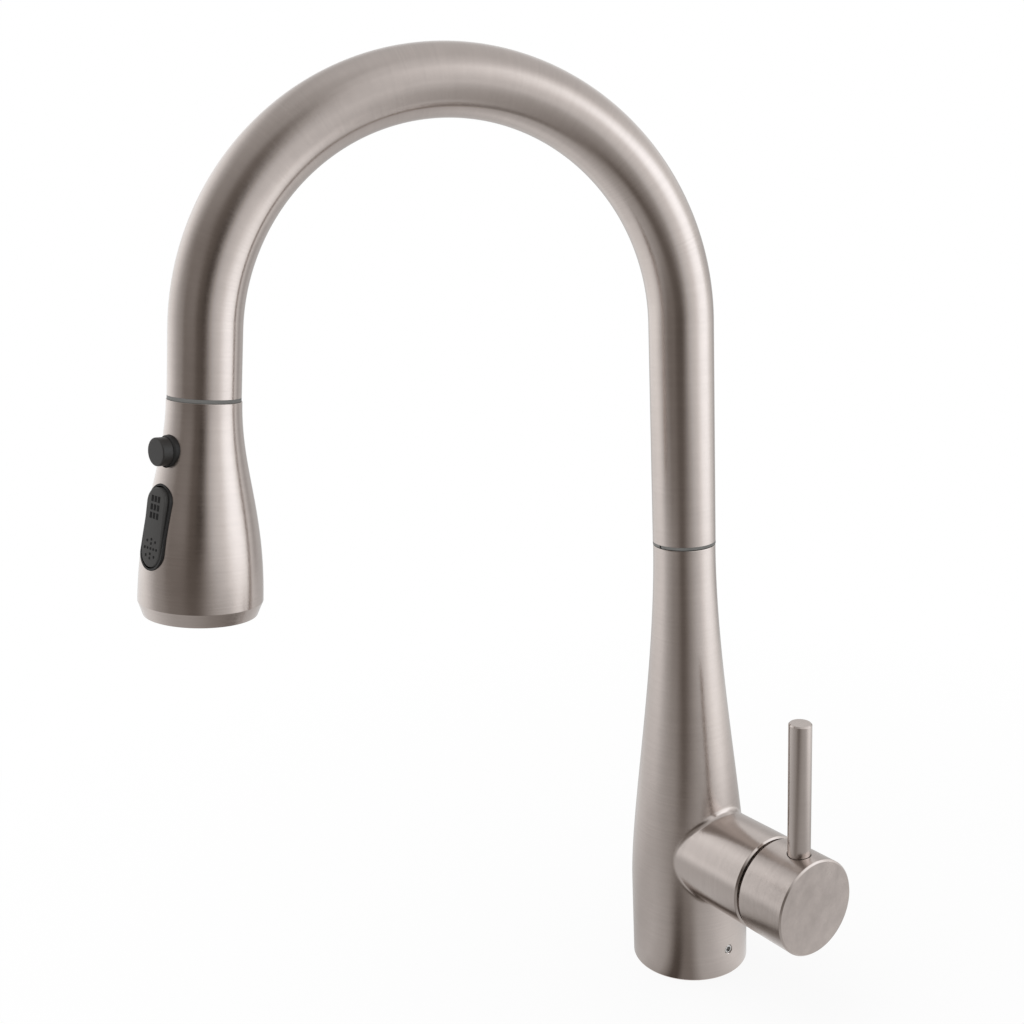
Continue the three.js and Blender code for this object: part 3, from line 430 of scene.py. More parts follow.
def softened(outline, radius):
    """The closed outline with an arc at each sharp corner and support points beside it."""
    points = [Vector(p) for p in outline]
    made = []
    for i, corner in enumerate(points):
        before, after = points[i - 1], points[(i + 1) % len(points)]
        back, on = before - corner, after - corner
        if corner.x < 1e-6 or back.length < 1e-6 or on.length < 1e-6:
            made.append(corner)
            continue
        turn = math.pi - back.angle(on)
        if turn < corner_limit:
            made.append(corner)
            continue
        reach = min(radius * math.tan(turn / 2), back.length * 0.45, on.length * 0.45)
        back.normalize()
        on.normalize()
        made.append(corner + back * min(reach * 1.5, reach + 0.3))
        first, last = corner + back * reach, corner + on * reach
        for step in range(corner_steps + 1):
            t = step / corner_steps
            made.append(first.lerp(corner, t).lerp(corner.lerp(last, t), t))
        made.append(corner + on * min(reach * 1.5, reach + 0.3))
    return made


def turned(outline, segments=128):
    """A solid of revolution about Z. The outline is a closed list of (radius, height)."""
    shape = bmesh.new()
    verts = [shape.verts.new((p[0], 0, p[1])) for p in outline]
    edges = [shape.edges.new((verts[i - 1], verts[i])) for i in range(len(verts))]
    on_axis = [e for e in edges if max(v.co.x for v in e.verts) < 1e-6]
    bmesh.ops.delete(shape, geom=on_axis, context="EDGES_FACES")
    rest = [v for v in verts if v.is_valid] + [e for e in edges if e.is_valid]
    bmesh.ops.spin(
        shape, geom=rest, cent=(0, 0, 0), axis=(0, 0, 1), angle=2 * math.pi,
        steps=segments, use_merge=True)
    bmesh.ops.remove_doubles(shape, verts=shape.verts, dist=1e-4)
    bmesh.ops.recalc_face_normals(shape, faces=shape.faces)
    return shape


def disc(radius, low, high, segments=96):
    return turned([(0, low), (radius, low), (radius, high), (0, high)], segments)


def as_object(shape):
    mesh = bpy.data.meshes.new("working")
    shape.to_mesh(mesh)
    shape.free()
    made = bpy.data.objects.new("working", mesh)
    bpy.context.collection.objects.link(made)
    return made


def combined(shape, tool, operation):
    """One closed shape joined to or cut by another. Both are used up."""
    base, other = as_object(shape), as_object(tool)
    modifier = base.modifiers.new("working", "BOOLEAN")
    modifier.object = other
    modifier.operation = operation
    modifier.solver = "EXACT"
    result = bmesh.new()
    result.from_object(base, bpy.context.evaluated_depsgraph_get())
    bmesh.ops.triangulate(result, faces=[f for f in result.faces if len(f.verts) > 4])
    for used in (base, other):
        mesh = used.data
        bpy.data.objects.remove(used)
        bpy.data.meshes.remove(mesh)
    return result


def cut(shape, tool):
    return combined(shape, tool, "DIFFERENCE")


def joined(shape, tool):
    return combined(shape, tool, "UNION")


def grain_about(axis_place):
    """Brushing coordinates in millimetres: two across the form's axis and one along it and out
    from it, so that flat ends are brushed in rings."""
    inverse = axis_place.inverted()

    def grain(point):
        local = inverse @ point
        return (local.x, local.y, local.z + math.hypot(local.x, local.y))

    return grain


sharp_edge = math.radians(38)


def piece(name, shape, place, body, material, nodes=(), grain=None):
    """Finishes a shape in millimetres as an object in its place, riding on a body if it has one."""
    mesh = bpy.data.meshes.new(name)
    shape.normal_update()
    if grain:
        layer = shape.verts.layers.float_vector.new("grain")
        for vert in shape.verts:
            vert[layer] = grain(vert.co)
    for face in shape.faces:
        face.smooth = True
    shape.transform(Matrix.Scale(mm, 4) @ place)
    shape.to_mesh(mesh)
    shape.free()
    mesh.set_sharp_from_angle(angle=sharp_edge)
    mesh.materials.append(material)
    made = bpy.data.objects.new(name, mesh)
    bpy.context.collection.objects.link(made)
    if body:
        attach(made, body)
    if nodes:
        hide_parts(*nodes)
    return made


waist = (
    Vector((body_radius, body_straight)),
    Vector((body_radius, body_straight + foot_reach)),
    Vector((neck_radius, body_top - neck_reach)),
    Vector((neck_radius, body_top)),
)
waist_points = bezier(*waist, 90) + [waist[3]]


def waist_offset(distance):
    """The waist's side moved outwards, as (radius, height, outward direction)."""
    made = []
    for i, point in enumerate(waist_points):
        before = waist_points[max(i - 1, 0)]
        after = waist_points[min(i + 1, len(waist_points) - 1)]
        run = (after - before).normalized()
        out = Vector((run.y, -run.x))
        made.append((point + out * distance, out))
    heights = range(0, int(body_straight), 3)
    return [(Vector((body_radius + distance, h)), Vector((1, 0))) for h in heights] + made


fillet_steps = 160
fillet_arc = 8
fillet_sink = 0.02
fillet_depth = 0.5


def fillet_ring():
    """A ball rolls round the barrel, touching it and the body; its path is the fillet."""
    offset = waist_offset(barrel_fillet)
    reach = barrel_radius + barrel_fillet
    shape = bmesh.new()
    sections = []
    for step in range(fillet_steps):
        angle = 2 * math.pi * step / fillet_steps
        y, z = reach * math.sin(angle), barrel_height + reach * math.cos(angle)
        i = next(k for k in range(1, len(offset)) if offset[k][0].y >= z)
        share = (z - offset[i - 1][0].y) / (offset[i][0].y - offset[i - 1][0].y)
        rho = offset[i - 1][0].lerp(offset[i][0], share).x
        out = offset[i - 1][1].lerp(offset[i][1], share).normalized()
        x = math.sqrt(rho * rho - y * y)
        centre = Vector((x, y, z))
        to_body = -Vector((out.x * x / rho, out.x * y / rho, out.y))
        to_barrel = -Vector((0, math.sin(angle), math.cos(angle)))
        half = to_body.angle(to_barrel) / 2
        section = []
        for k in range(fillet_arc + 1):
            way = to_body.slerp(to_barrel, k / fillet_arc)
            sink = fillet_sink if k in (0, fillet_arc) else 0
            section.append(centre + way * (barrel_fillet + sink))
        inwards = (to_body + to_barrel).normalized()
        section.append(centre + inwards * (barrel_fillet / math.cos(half) + fillet_depth))
        sections.append(section)
    loops = []
    for k in range(fillet_arc + 2):
        verts = [shape.verts.new(section[k]) for section in sections]
        loops.append([shape.edges.new((verts[i - 1], verts[i])) for i in range(fillet_steps)])
    for k, loop in enumerate(loops):
        bmesh.ops.bridge_loops(shape, edges=loops[k - 1] + loop)
    bmesh.ops.recalc_face_normals(shape, faces=shape.faces)
    return shape


def body_casting():
    """The waisted body with its hollow foot, the barrel and the fillet between them."""
    groove_inner, groove_outer = gasket_inner - gasket_slack, gasket_outer + gasket_slack
    outer = softened([
        (0, 0), (groove_inner, 0), (groove_inner, gasket_groove), (groove_outer, gasket_groove),
        (groove_outer, 0), (body_radius, 0),
        *straight((body_radius, 0.8), (body_radius, body_straight), 14),
        *waist_points[:-1], (neck_radius, body_top - 1), (neck_radius, body_top), (0, body_top),
    ], edge_round)
    barrel = softened([
        (0, barrel_root), (barrel_radius, barrel_root),
        *straight((barrel_radius, barrel_start), (barrel_radius, barrel_end - side_margin), 8),
        (barrel_radius, barrel_end - barrel_bevel), (barrel_radius - barrel_bevel, barrel_end),
        (0, barrel_end),
    ], 0.25)
    side = turned(barrel, 192)
    side.transform(along_x)
    shape = joined(joined(turned(outer, 192), side), fillet_ring())
    hollow = turned([
        (0, -1), (foot_bore, -1), (foot_bore, body_straight), (waist_bore, waist_bore_low),
        (waist_bore, waist_bore_high), (neck_bore, waist_bore_high), (neck_bore, body_top + 1),
        (0, body_top + 1)])
    bore = disc(cartridge_bore, cartridge_floor, barrel_end + 1)
    bore.transform(along_x)
    screw_hole = disc(screw_radius + screw_slack, foot_bore - 1, body_radius + 1, 48)
    screw_hole.transform(screw_place)
    screw_sink = bmesh.new()
    bmesh.ops.create_cone(
        screw_sink, cap_ends=True, segments=48, radius1=screw_radius,
        radius2=screw_radius + screw_sink_wide, depth=screw_sink_deep,
        matrix=screw_place @ Matrix.Translation((0, 0, body_radius)))
    for tool in (hollow, bore, screw_hole, screw_sink):
        shape = cut(shape, tool)
    return shape


def body_grain(point):
    """Round the upright axis on the body, and round the barrel's own axis on the barrel."""
    on_barrel = math.hypot(point.y, point.z - barrel_height) < barrel_radius + fillet_sink
    if on_barrel and point.x > barrel_shows:
        return barrel_grain(point)
    return upright_grain(point)


upright_grain = grain_about(here)
barrel_grain = grain_about(along_x)
piece("body", body_casting(), here, "body", steel, ["body_shell"], body_grain)


# ---------------------------------------------------------------- set screw
# A bright steel screw low under the barrel, with a hexagon socket, locks the body on its
# insert. It sits a little below the surface.

def bright_steel(name, colour, roughness):
    material, finish, shader = principled(name)
    spot = finish.node("ShaderNodeTexCoord", output="Object")
    cloud = finish.node(
        "ShaderNodeTexNoise", values={"Vector": spot, "Scale": 900.0, "Detail": 3.0})
    finish.feed(shader.inputs["Base Color"], finish.scaled(colour, cloud * 0.2 + 0.9))
    finish.feed(shader.inputs["Roughness"], cloud * 0.15 + roughness)
    bump = finish.node("ShaderNodeBump", {}, {"Height": cloud, "Distance": 0.00001})
    finish.feed(shader.inputs["Normal"], bump)
    shader.inputs["Metallic"].default_value = 1.0
    return material


screw_low, screw_top = 23, 27.3
socket_radius = 1.4
socket_low, socket_length = 24.75, 5
bare_steel = bright_steel("bare_steel", (0.62, 0.61, 0.60), 0.18)
screw_shape = turned(softened([
    (0, screw_low), (screw_radius, screw_low), (screw_radius, screw_top), (0, screw_top),
], 0.35), 48)
screw_socket = bmesh.new()
bmesh.ops.create_cone(
    screw_socket, cap_ends=True, segments=6, radius1=socket_radius, radius2=socket_radius,
    depth=socket_length, matrix=Matrix.Translation((0, 0, socket_low + socket_length / 2)))
screw_shape = cut(screw_shape, screw_socket)
piece("set_screw", screw_shape, screw_place, "body", bare_steel, ["base_set_screw"])


# ---------------------------------------------------------------- glide ring
# A split ring of grey plastic between body and spout, so that the spout turns without
# metal on metal. Only its thin edge shows.

def moulded_plastic(name, colour, roughness, texture=0.00002):
    material, finish, shader = principled(name)
    spot = finish.node("ShaderNodeTexCoord", output="Object")
    grit, cloud = (
        finish.node("ShaderNodeTexNoise", values={"Vector": spot, "Scale": scale, "Detail": 2.0})
        for scale in (2600.0, 160.0))
    finish.feed(shader.inputs["Base Color"], finish.scaled(colour, cloud * 0.3 + 0.85))
    finish.feed(shader.inputs["Roughness"], grit * 0.12 + cloud * 0.1 + roughness)
    bump = finish.node("ShaderNodeBump", {}, {"Height": grit, "Distance": texture})
    finish.feed(shader.inputs["Normal"], bump)
    return material


grey_plastic = moulded_plastic("grey_plastic", (0.17, 0.168, 0.16), 0.42)
ring_low, ring_high = body_top + 0.32, body_top + 1.54
ring_edge = neck_radius + 0.1
sleeve_bore, sleeve_radius, sleeve_low = 10.9, 11.95, 201
ring_shape = turned(softened([
    (sleeve_bore, sleeve_low), (sleeve_radius, sleeve_low), (sleeve_radius, ring_low),
    (ring_edge, ring_low), (ring_edge, ring_high), (sleeve_bore, ring_high)], 0.05), 128)
ring_split = bmesh.new()
ring_split_size = (1.2, 12, 20)
bmesh.ops.create_cube(ring_split, size=1, matrix=(
    Matrix.Translation((0, -14, 205)) @ Matrix.Diagonal((*ring_split_size, 1))))
ring_shape = cut(ring_shape, ring_split)
piece("seam_ring", ring_shape, here, "body", grey_plastic, ["glide_ring"])


# ---------------------------------------------------------------- base gasket
# A flat rubber ring in its groove under the foot, which seals the body on the deck.

rubber = moulded_plastic("rubber", (0.02, 0.02, 0.02), 0.62, 0.00004)
gasket_low, gasket_high = 0.02, 1.2
gasket_shape = turned(softened([
    (gasket_inner, gasket_low), (gasket_outer, gasket_low), (gasket_outer, gasket_high),
    (gasket_inner, gasket_high)], 0.2), 160)
piece("foot_gasket", gasket_shape, here, "body", rubber, ["base_gasket"])


# ---------------------------------------------------------------- handle
# A turned cap over the cartridge, with a flat face, a tapered rim next to the barrel and
# a bore on top for the lever pin. The pin is bar with a chamfered end, screwed in.

cap_low, cap_high = 57.0, 81.5
cap_bevel = 0.7
cap_rim = 0.6
cap_lip = 0.2
cap_taper = 3
cap_wall = 2.0
cap_plate = 66.0
pin_radius = 5.0
pin_axis = 71.5
pin_low, pin_top = 14.3, 83.0
pin_bevel = 0.6
pin_margin = 1.4
pin_bore_low = 14.2
pin_slack = 0.28
stroke_slant = 0.1
mottled_steel = brushed_steel("mottled_steel", cloudy=3.6)
pin_place = Matrix.Translation((pin_axis, 0, barrel_height))


def handle_cap():
    outline = softened([
        (0, cap_plate), (barrel_radius - cap_wall, cap_plate),
        (barrel_radius - cap_wall, cap_low + cap_taper), (barrel_radius - cap_rim, cap_low),
        (barrel_radius - cap_lip, cap_low), (barrel_radius, cap_low + cap_lip),
        *straight((barrel_radius, cap_low + 1), (barrel_radius, cap_high - side_margin), 10),
        (barrel_radius, cap_high - cap_bevel), (barrel_radius - cap_bevel, cap_high),
        *straight((barrel_radius - side_margin, cap_high), (0, cap_high), 10), (0, cap_high),
    ], 0.18)
    shape = turned(outline, 192)
    shape.transform(along_x)
    bore = disc(pin_radius + pin_slack, pin_bore_low, 30)
    bore.transform(pin_place)
    return cut(shape, bore)


def cap_grain(point):
    """Round the side like the barrel's, and faint slanting strokes on the end face."""
    side, up, along = barrel_grain(point)
    if point.x > cap_high - 0.05 and math.hypot(side, up) < barrel_radius - 1:
        along = cap_high + barrel_radius + stroke_slant * (side + up)
    return (side, up, along)


piece("lever_cap", handle_cap(), here, "handle", mottled_steel, ["handle_cap"],
      cap_grain)

pin_shape = turned(softened([
    (0, pin_low), (pin_radius, pin_low),
    *straight((pin_radius, 16), (pin_radius, pin_top - pin_margin), 30),
    (pin_radius, pin_top - pin_bevel), (pin_radius - pin_bevel, pin_top),
    *straight((pin_radius - pin_margin, pin_top), (0, pin_top), 4), (0, pin_top)], 0.15), 96)
piece("lever_rod", pin_shape, pin_place, "handle", steel, ["lever_pin"],
      upright_grain)


# ---------------------------------------------------------------- spout
# One length of 28 mm tube, bent into a gooseneck over 173 degrees and brushed round its
# section all the way.

spout_radius = 14.2
spout_wall = 1.2
spout_low = body_top + 1.6
arch_radius = 101.5
arch_height = 308.25
arch_sweep = math.radians(173)
leg_length = 27.4
leg_short = 1.6
swivel = joints["spray_head_swivel"]
seam = Vector(swivel["pos_m"])
spout_turn = math.atan2(seam.x, -seam.y)
spout_place = Matrix.Rotation(spout_turn, 4, "Z")


def drawn_out(shape, loop, way, length, steps):
    """Extrudes an open loop of edges straight out, in equal steps."""
    for _ in range(steps):
        made = bmesh.ops.extrude_edge_only(shape, edges=loop)["geom"]
        verts = [e for e in made if isinstance(e, bmesh.types.BMVert)]
        bmesh.ops.translate(shape, verts=verts, vec=way * (length / steps))
        loop = [e for e in made if isinstance(e, bmesh.types.BMEdge)
                and all(v in set(verts) for v in e.verts)]
    return loop


def spout_tube():
    shape = bmesh.new()
    bmesh.ops.create_circle(
        shape, cap_ends=False, segments=96, radius=spout_radius,
        matrix=Matrix.Translation((0, 0, spout_low)))
    up = Vector((0, 0, 1))
    loop = drawn_out(shape, list(shape.edges), up, 1, 2)
    loop = drawn_out(shape, loop, up, arch_height - spout_low - 1, 20)
    bent = bmesh.ops.spin(
        shape, geom=loop, cent=(0, -arch_radius, arch_height), axis=(-1, 0, 0),
        angle=-arch_sweep, steps=150)["geom_last"]
    loop = [e for e in bent if isinstance(e, bmesh.types.BMEdge)]
    down = Vector((0, -math.sin(arch_sweep), math.cos(arch_sweep)))
    loop = drawn_out(shape, loop, down, leg_length - leg_short - 1, 6)
    drawn_out(shape, loop, down, 1, 2)
    bmesh.ops.recalc_face_normals(shape, faces=shape.faces)
    bmesh.ops.solidify(shape, geom=shape.faces, thickness=spout_wall)
    return shape


def spout_grain(point):
    """Two coordinates across the tube and one along its bent centre line."""
    side, drop = point.x, -point.y
    if point.z < arch_height and drop < arch_radius:
        return (side, drop, point.z)
    angle = math.atan2(point.z - arch_height, arch_radius - drop)
    if angle < 0:
        angle += 2 * math.pi
    beyond = math.hypot(point.z - arch_height, arch_radius - drop)
    if angle > arch_sweep:
        past = beyond * math.sin(angle - arch_sweep)
        off = beyond * math.cos(angle - arch_sweep) - arch_radius
        return (side, off, arch_height + arch_radius * arch_sweep + past)
    return (side, beyond - arch_radius, arch_height + arch_radius * angle)


piece("gooseneck", spout_tube(), spout_place, "spout", steel, ["spout_tube"],
      spout_grain)


# ---------------------------------------------------------------- dock collar
# A grey plastic collar in the spout's end. The spray head docks in it, and its edge shows
# as a thin ring over the head.

head_up = -Vector(swivel["axis"]).normalized()
head_side = -Vector(joints["rocker_tilt"]["axis"]).normalized()
head_back = head_up.cross(head_side)
head_place = Matrix.Translation(seam / mm) @ Matrix(
    (head_side, head_back, head_up)).transposed().to_4x4()

collar_bore, collar_radius, collar_edge = 10.9, 12.7, 14.15
collar_low, collar_seam, collar_high = 0.06, 1.54, 18
collar_shape = turned(softened([
    (collar_bore, collar_high), (collar_radius, collar_high), (collar_radius, collar_seam),
    (collar_edge, collar_seam), (collar_edge, collar_low), (collar_bore, collar_low)], 0.05), 128)
piece("dock_ring", collar_shape, head_place, "spout", grey_plastic, ["dock_collar"])


# ---------------------------------------------------------------- spray head shell
# A drawn steel shell that flares down from the dock, with a bevel at the bottom, an
# opening for the button and a long one for the rocker. Brushed round its axis.

head_top_radius = 14.5
head_line = 80.0
head_line_radius = 24.6
head_length = 85.7
head_bottom_radius = 22.5
head_wall = 1.7
head_bore = 10.9
head_roof = 2.2
face_bore = 20.5
flare_top_reach = 26.6
flare_line_reach = 37.7
flare_lean = 0.35
flare = (
    Vector((head_top_radius, 0)),
    Vector((head_top_radius, -flare_top_reach)),
    Vector((head_line_radius - flare_lean, -head_line + flare_line_reach)),
    Vector((head_line_radius, -head_line)),
)
flare_points = bezier(*flare, 80)


def flare_radius(height):
    """The radius of the flared side at a height below the top face."""
    for above, below in zip(flare_points, [*flare_points[1:], flare[3]]):
        if below.y <= height:
            share = (height - above.y) / (below.y - above.y)
            return above.lerp(below, share).x
    return head_line_radius


button_place = 19.1
bezel_radius = 6.2
opening_slack = 0.12
rocker_middle = 48.2
rocker_opening = (34.0, 14.6)
pin_depth = 2.6
rocker_slope = math.atan(flare_radius(-49) / 2 - flare_radius(-47) / 2)
rocker_pin = Vector((
    0, pin_depth * math.cos(rocker_slope) - flare_radius(-rocker_middle),
    -rocker_middle - pin_depth * math.sin(rocker_slope)))
rocker_pin_place = (
    Matrix.Translation(rocker_pin) @ Matrix.Rotation(math.pi / 2 - rocker_slope, 4, "X"))
over_pin = Matrix.Translation((0, 0, pin_depth))
frame_seat = rocker_pin_place @ over_pin
facing_out = Matrix.Translation((0, 0, -button_place)) @ Matrix.Rotation(math.pi / 2, 4, "X")


def stadium(length, width, low, high):
    """A plate with round ends, its length along Y."""
    shape = bmesh.new()
    bmesh.ops.create_circle(
        shape, cap_ends=True, segments=96, radius=width / 2,
        matrix=Matrix.Translation((0, 0, low)))
    reach = (length - width) / 2
    for vert in shape.verts:
        vert.co.y += math.copysign(reach, vert.co.y)
    made = bmesh.ops.extrude_face_region(shape, geom=list(shape.faces))["geom"]
    verts = [e for e in made if isinstance(e, bmesh.types.BMVert)]
    bmesh.ops.translate(shape, verts=verts, vec=(0, 0, high - low))
    bmesh.ops.recalc_face_normals(shape, faces=shape.faces)
    return shape


def head_shell():
    inner = [
        (max(head_bore, min(p.x - head_wall, face_bore)), p.y) for p in flare_points if p.y < -2.5]
    outline = softened([
        (head_bore, 0), (head_top_radius, 0), *[p for p in flare_points if p.y < -0.8],
        (head_line_radius, -head_line), (head_bottom_radius, -head_length),
        (face_bore, -head_length), (face_bore, -head_line), *reversed(inner),
        (head_bore, -head_roof)], 0.2)
    shape = turned(outline, 192)
    button_hole = disc(bezel_radius + opening_slack, 8, 30)
    button_hole.transform(facing_out)
    rocker_hole = stadium(*rocker_opening, -11, 12)
    rocker_hole.transform(frame_seat)
    return cut(cut(shape, button_hole), rocker_hole)


piece("spray_shell", head_shell(), head_place, "spray_head", steel,
      ["head_shell"], upright_grain)


# ---------------------------------------------------------------- pause button
# A round black button on a spring, in a collar of the same plastic that stands a little
# proud of the metal. Moulded with a fine satin texture and a rounded edge.

button_radius = 5.5
button_low = 14.2
button_surface = flare_radius(-button_place)
button_top = button_surface + 5.3
bezel_bore = 5.56
bezel_low = 12
bezel_shoulder = button_surface + 0.2
bezel_top = button_surface + 1.0
bezel_top_radius = 5.75
satin_black = moulded_plastic("satin_black", (0.021, 0.0192, 0.0183), 0.36)
black_plastic = moulded_plastic("black_plastic", (0.0085, 0.008, 0.0078), 0.42)

button_seat = head_place @ facing_out
button_shape = turned(softened([
    (0, button_low), (button_radius, button_low), (button_radius, button_top),
    (0, button_top)], 0.55), 96)
piece("pause_push", button_shape, button_seat, "pause_button", satin_black,
      ["pause_button"])
bezel_shape = turned(softened([
    (bezel_bore, bezel_low), (bezel_radius, bezel_low), (bezel_radius, bezel_shoulder),
    (bezel_top_radius, bezel_top), (bezel_bore, bezel_top)], 0.12), 96)
piece("button_surround", bezel_shape, button_seat, "spray_head", black_plastic,
      ["button_bezel"])


# ---------------------------------------------------------------- button spring
# Steel wire wound into a coil behind the button, which it pushes back out.

spring_turns = 5
spring_radius = 3.3
spring_wire = 0.45
spring_low, spring_high = 6.75, 13.35
spring_steps = spring_turns * 24
spring_rise = (spring_high - spring_low) / spring_steps
button_travel = joints["button_press"]["range_m"][1] / mm
spring_shape = bmesh.new()
spring_start = bmesh.ops.create_circle(
    spring_shape, cap_ends=False, segments=12, radius=spring_wire, matrix=(
        Matrix.Translation((spring_radius, 0, spring_low)) @ Matrix.Rotation(math.pi / 2, 4, "X")))
bmesh.ops.spin(
    spring_shape, geom=spring_start["verts"] + list(spring_shape.edges), cent=(0, 0, 0),
    axis=(0, 0, 1), dvec=(0, 0, spring_rise), angle=2 * math.pi * spring_turns,
    steps=spring_steps)
wire_ends = [e for e in spring_shape.edges if e.is_boundary]
bmesh.ops.holes_fill(spring_shape, edges=wire_ends, sides=0)
bmesh.ops.recalc_face_normals(spring_shape, faces=spring_shape.faces)
spring = piece("return_spring", spring_shape, button_seat, "spray_head",
               bare_steel, ["button_spring"])
spring_length = spring_high - spring_low + 2 * spring_wire
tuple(joints["button_press"]["axis"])
1 - button_travel / spring_length
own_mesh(spring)


# ---------------------------------------------------------------- rocker
# A long black rocker that switches between stream and spray, in a thin black frame. Its
# face carries plain marks: short dashes at one end and groups of dots at the other.

rocker_length = 31.2
rocker_width = 12.2
rocker_proud = 0.6
rocker_depth = 4.4
rocker_rest = math.radians(3)
rocker_seat = head_place @ (
    rocker_pin_place @ Matrix.Rotation(rocker_rest, 4, "X") @ over_pin)
charcoal_plastic = moulded_plastic("charcoal_plastic", (0.045, 0.043, 0.041), 0.5)

frame_outside = (33.8, 14.4)
frame_inside = (32.2, 12.8)
frame_low, frame_high = -4.5, -0.3
frame_shape = cut(
    stadium(*frame_outside, frame_low, frame_high), stadium(*frame_inside, frame_low - 1.5, 2))
piece("rocker_surround", frame_shape, head_place @ frame_seat, "spray_head",
      black_plastic, ["rocker_frame"])

rocker_shape = stadium(rocker_length, rocker_width, rocker_proud - rocker_depth, rocker_proud)
top_edges = [e for e in rocker_shape.edges if all(v.co.z > rocker_proud - 0.01 for v in e.verts)]
bmesh.ops.bevel(rocker_shape, geom=top_edges, offset=0.7, affect="EDGES", segments=4,
                profile=0.5, material=-1)
piece("rocker_plate", rocker_shape, rocker_seat, "rocker",
      charcoal_plastic, ["rocker"])

mark_height = rocker_proud + 0.02
mark_thick = 0.12
dash_width, dash_length = 1.35, 2.35
dot_radius, dot_top_radius = 0.58, 0.52
marks_shape = bmesh.new()
for row in (11.1, 7.8, 4.6):
    for column in (-2.15, 0, 2.15):
        bmesh.ops.create_cube(marks_shape, size=1, matrix=(
            Matrix.Translation((column, row, mark_height))
            @ Matrix.Diagonal((dash_width, dash_length, mark_thick, 1))))
dots = [(0, 0.85), (-2.7, 0), (2.7, 0), (0, -0.85)]
dot_places = [(x, y - 5.4) for x, y in dots] + [(x, y - 11.1) for x, y in dots]
dot_places += [(x, -8.2) for x in (-3.9, -1.95, 0, 1.95, 3.9)]
for x, y in dot_places:
    bmesh.ops.create_cone(
        marks_shape, cap_ends=True, segments=20, radius1=dot_radius, radius2=dot_top_radius,
        depth=mark_thick, matrix=Matrix.Translation((x, y, mark_height)))
mark_ink = moulded_plastic("mark_ink", (0.004, 0.004, 0.004), 0.75)
piece("rocker_marks", marks_shape, rocker_seat, "rocker", mark_ink)


# ---------------------------------------------------------------- spray face
# A black plate snapped into the head's end, with soft grey nozzles moulded on one rubber
# pad behind it, and in the middle a threaded aerator with a honeycomb screen.

face_top, face_bottom = -80.7, -83.7
face_slack = 0.15
aerator_radius = 8.7
face_inner, face_outer = aerator_radius + face_slack, face_bore - face_slack
pad_top, pad_bottom = -77.5, -80.4
nozzle_radius, nozzle_tip_radius = 0.9, 0.62
nozzle_hole, nozzle_mouth = 1.05, 0.34
nozzle_tip = -85.0
silicone = moulded_plastic("grey_silicone", (0.10, 0.10, 0.105), 0.6)
nozzle_places = []
for row_radius, count in ((12.2, 8), (16.4, 12)):
    for number in range(count):
        angle = 2 * math.pi * (number + 0.5) / count
        nozzle_places.append((row_radius * math.cos(angle), row_radius * math.sin(angle)))


def rods(places, radius, low, high, low_radius=None, segments=32):
    shape = bmesh.new()
    for x, y in places:
        bmesh.ops.create_cone(
            shape, cap_ends=True, segments=segments, radius1=low_radius or radius, radius2=radius,
            depth=high - low, matrix=Matrix.Translation((x, y, (high + low) / 2)))
    return shape


face_shape = turned(softened([
    (face_inner, face_top), (face_inner, face_bottom), (face_outer, face_bottom),
    (face_outer, face_top)], 0.35), 160)
face_shape = cut(face_shape, rods(nozzle_places, nozzle_hole, face_bottom - 1, face_top + 1))
piece("face_plate", face_shape, head_place, "spray_head", satin_black,
      ["spray_face"])

pad_shape = turned(softened([
    (face_inner, pad_top), (face_inner, pad_bottom), (face_outer, pad_bottom),
    (face_outer, pad_top)], 0.2), 96)
pad_shape = joined(
    pad_shape, rods(nozzle_places, nozzle_radius, nozzle_tip, -79, nozzle_tip_radius))
nozzle_mouths = rods(nozzle_places, nozzle_mouth, nozzle_tip - 1, nozzle_tip + 1.5, segments=16)
piece("nozzle_rubber", cut(pad_shape, nozzle_mouths), head_place, "spray_head",
      silicone, ["nozzle_pad"])

aerator_bore, aerator_mouth = 6.1, 7.1
aerator_top, aerator_ledge = -77.5, -79.5
aerator_shape = turned(softened([
    (aerator_bore, aerator_top), (aerator_bore, aerator_ledge), (aerator_mouth, aerator_ledge),
    (aerator_mouth, nozzle_tip), (aerator_radius, nozzle_tip), (aerator_radius, aerator_top),
], 0.25), 96)
key_slots = bmesh.new()
key_slot_size = (1.6, 2.0, 1.6)
for quarter in range(4):
    bmesh.ops.create_cube(key_slots, size=1, matrix=(
        Matrix.Rotation(quarter * math.pi / 2, 4, "Z")
        @ Matrix.Translation((aerator_radius, 0, nozzle_tip))
        @ Matrix.Diagonal((*key_slot_size, 1))))
piece("aerator_body", cut(aerator_shape, key_slots), head_place, "spray_head",
      grey_plastic, ["aerator"])

screen_pitch = 1.7
screen_hole = 0.66
screen_radius = 6.95
screen_open = 6.0
screen_top, screen_bottom = -79.8, -80.8
screen_holes = []
for row in range(-4, 5):
    for column in range(-6, 7):
        place = ((column + row % 2 / 2) * screen_pitch, row * screen_pitch * math.sqrt(0.75))
        if math.hypot(*place) < screen_open:
            screen_holes.append(place)
screen_shape = turned([
    (0, screen_top), (screen_radius, screen_top), (screen_radius, screen_bottom),
    (0, screen_bottom)], 64)
screen_shape = cut(screen_shape, rods(screen_holes, screen_hole, -82, -79, segments=6))
piece("aerator_mesh", screen_shape, head_place, "spray_head", bare_steel,
      ["aerator_screen"])


# ---------------------------------------------------------------- pull-out hose
# The last stretch of the hose, nylon braid over a rubber tube. Its braid is laid out for the
# length that it has when the head pulls it out of the spout.

hose_radius = 6.0
hose_wall = 1.8
hose_bore = hose_radius - hose_wall
hose_low, hose_high = 12.3, 23.3
braid_strands = 12
braid_lay = 3.2
hose_pull = joints["spray_head_pull"]["range_m"][1] / mm


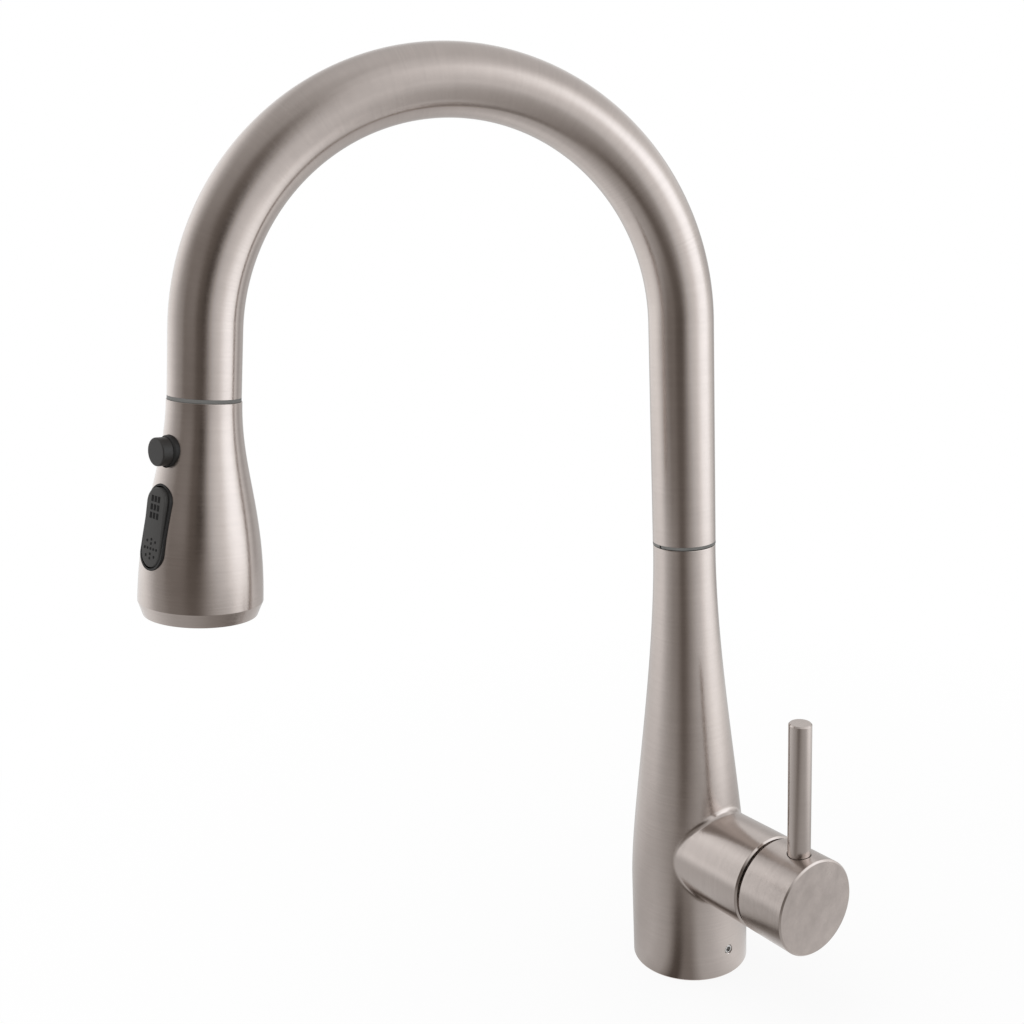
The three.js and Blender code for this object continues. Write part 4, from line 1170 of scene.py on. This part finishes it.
def woven_braid(name, colour):
    material, finish, shader = principled(name)
    grain = finish.node("ShaderNodeAttribute", {"attribute_name": "grain"}, output="Vector")
    parts = finish.node("ShaderNodeSeparateXYZ", values={0: grain}).socket.node.outputs
    around = Wire(finish, parts[0]).math("ARCTAN2", Wire(finish, parts[1])) * braid_strands
    along = Wire(finish, parts[2]) * (2 * math.pi / braid_lay)
    left = (around + along).math("SINE")
    right = (around - along).math("SINE")
    weave = left * right * 0.5 + 0.5
    finish.feed(shader.inputs["Base Color"], finish.scaled(colour, weave * 0.7 + 0.5))
    finish.feed(shader.inputs["Roughness"], 0.62 - weave * 0.2)
    finish.feed(shader.inputs["Normal"], finish.node(
        "ShaderNodeBump", {}, {"Height": weave, "Distance": 0.0004}))
    return material


def pulled_length(point):
    """The side of the hose, and the place along it once the head is pulled out."""
    share = (hose_high - point.z) / (hose_high - hose_low)
    eased = share * share * (3 - 2 * share)
    return (point.x, point.y, hose_pull * eased + hose_high - point.z)


braid = woven_braid("hose_braid", (0.10, 0.10, 0.105))
hose_outline = [
    (hose_bore, hose_high), *straight((hose_radius, hose_high), (hose_radius, hose_low), 90),
    (hose_radius, hose_low), (hose_bore, hose_low)]
hose = piece("pull_hose", turned(hose_outline, 48), head_place, None, braid,
             ["spray_hose_end"], pulled_length)
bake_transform(hose)


# ---------------------------------------------------------------- inner pieces
# Everything inside keeps its CAD form and takes the finish of its material: machined
# brass, bare steel, moulded plastic, rubber, lapped ceramic and woven braid.

brass = bright_steel("brass", (0.62, 0.44, 0.20), 0.28)
ceramic = moulded_plastic("ceramic", (0.75, 0.72, 0.66), 0.2, 0.000004)
finishes = {
    "brushed_nickel": steel, "brass": brass, "bare_steel": bare_steel, "rubber": rubber,
    "black_plastic": black_plastic, "charcoal_plastic": charcoal_plastic,
    "grey_plastic": grey_plastic, "grey_silicone": silicone, "ceramic": ceramic,
    "hose_braid": braid,
}
for part in frame["record"]["subparts"]:
    carried = frame["nodes"][part["node"]]
    for slot in carried.material_slots:
        slot.material = finishes[part["material_slot"]]
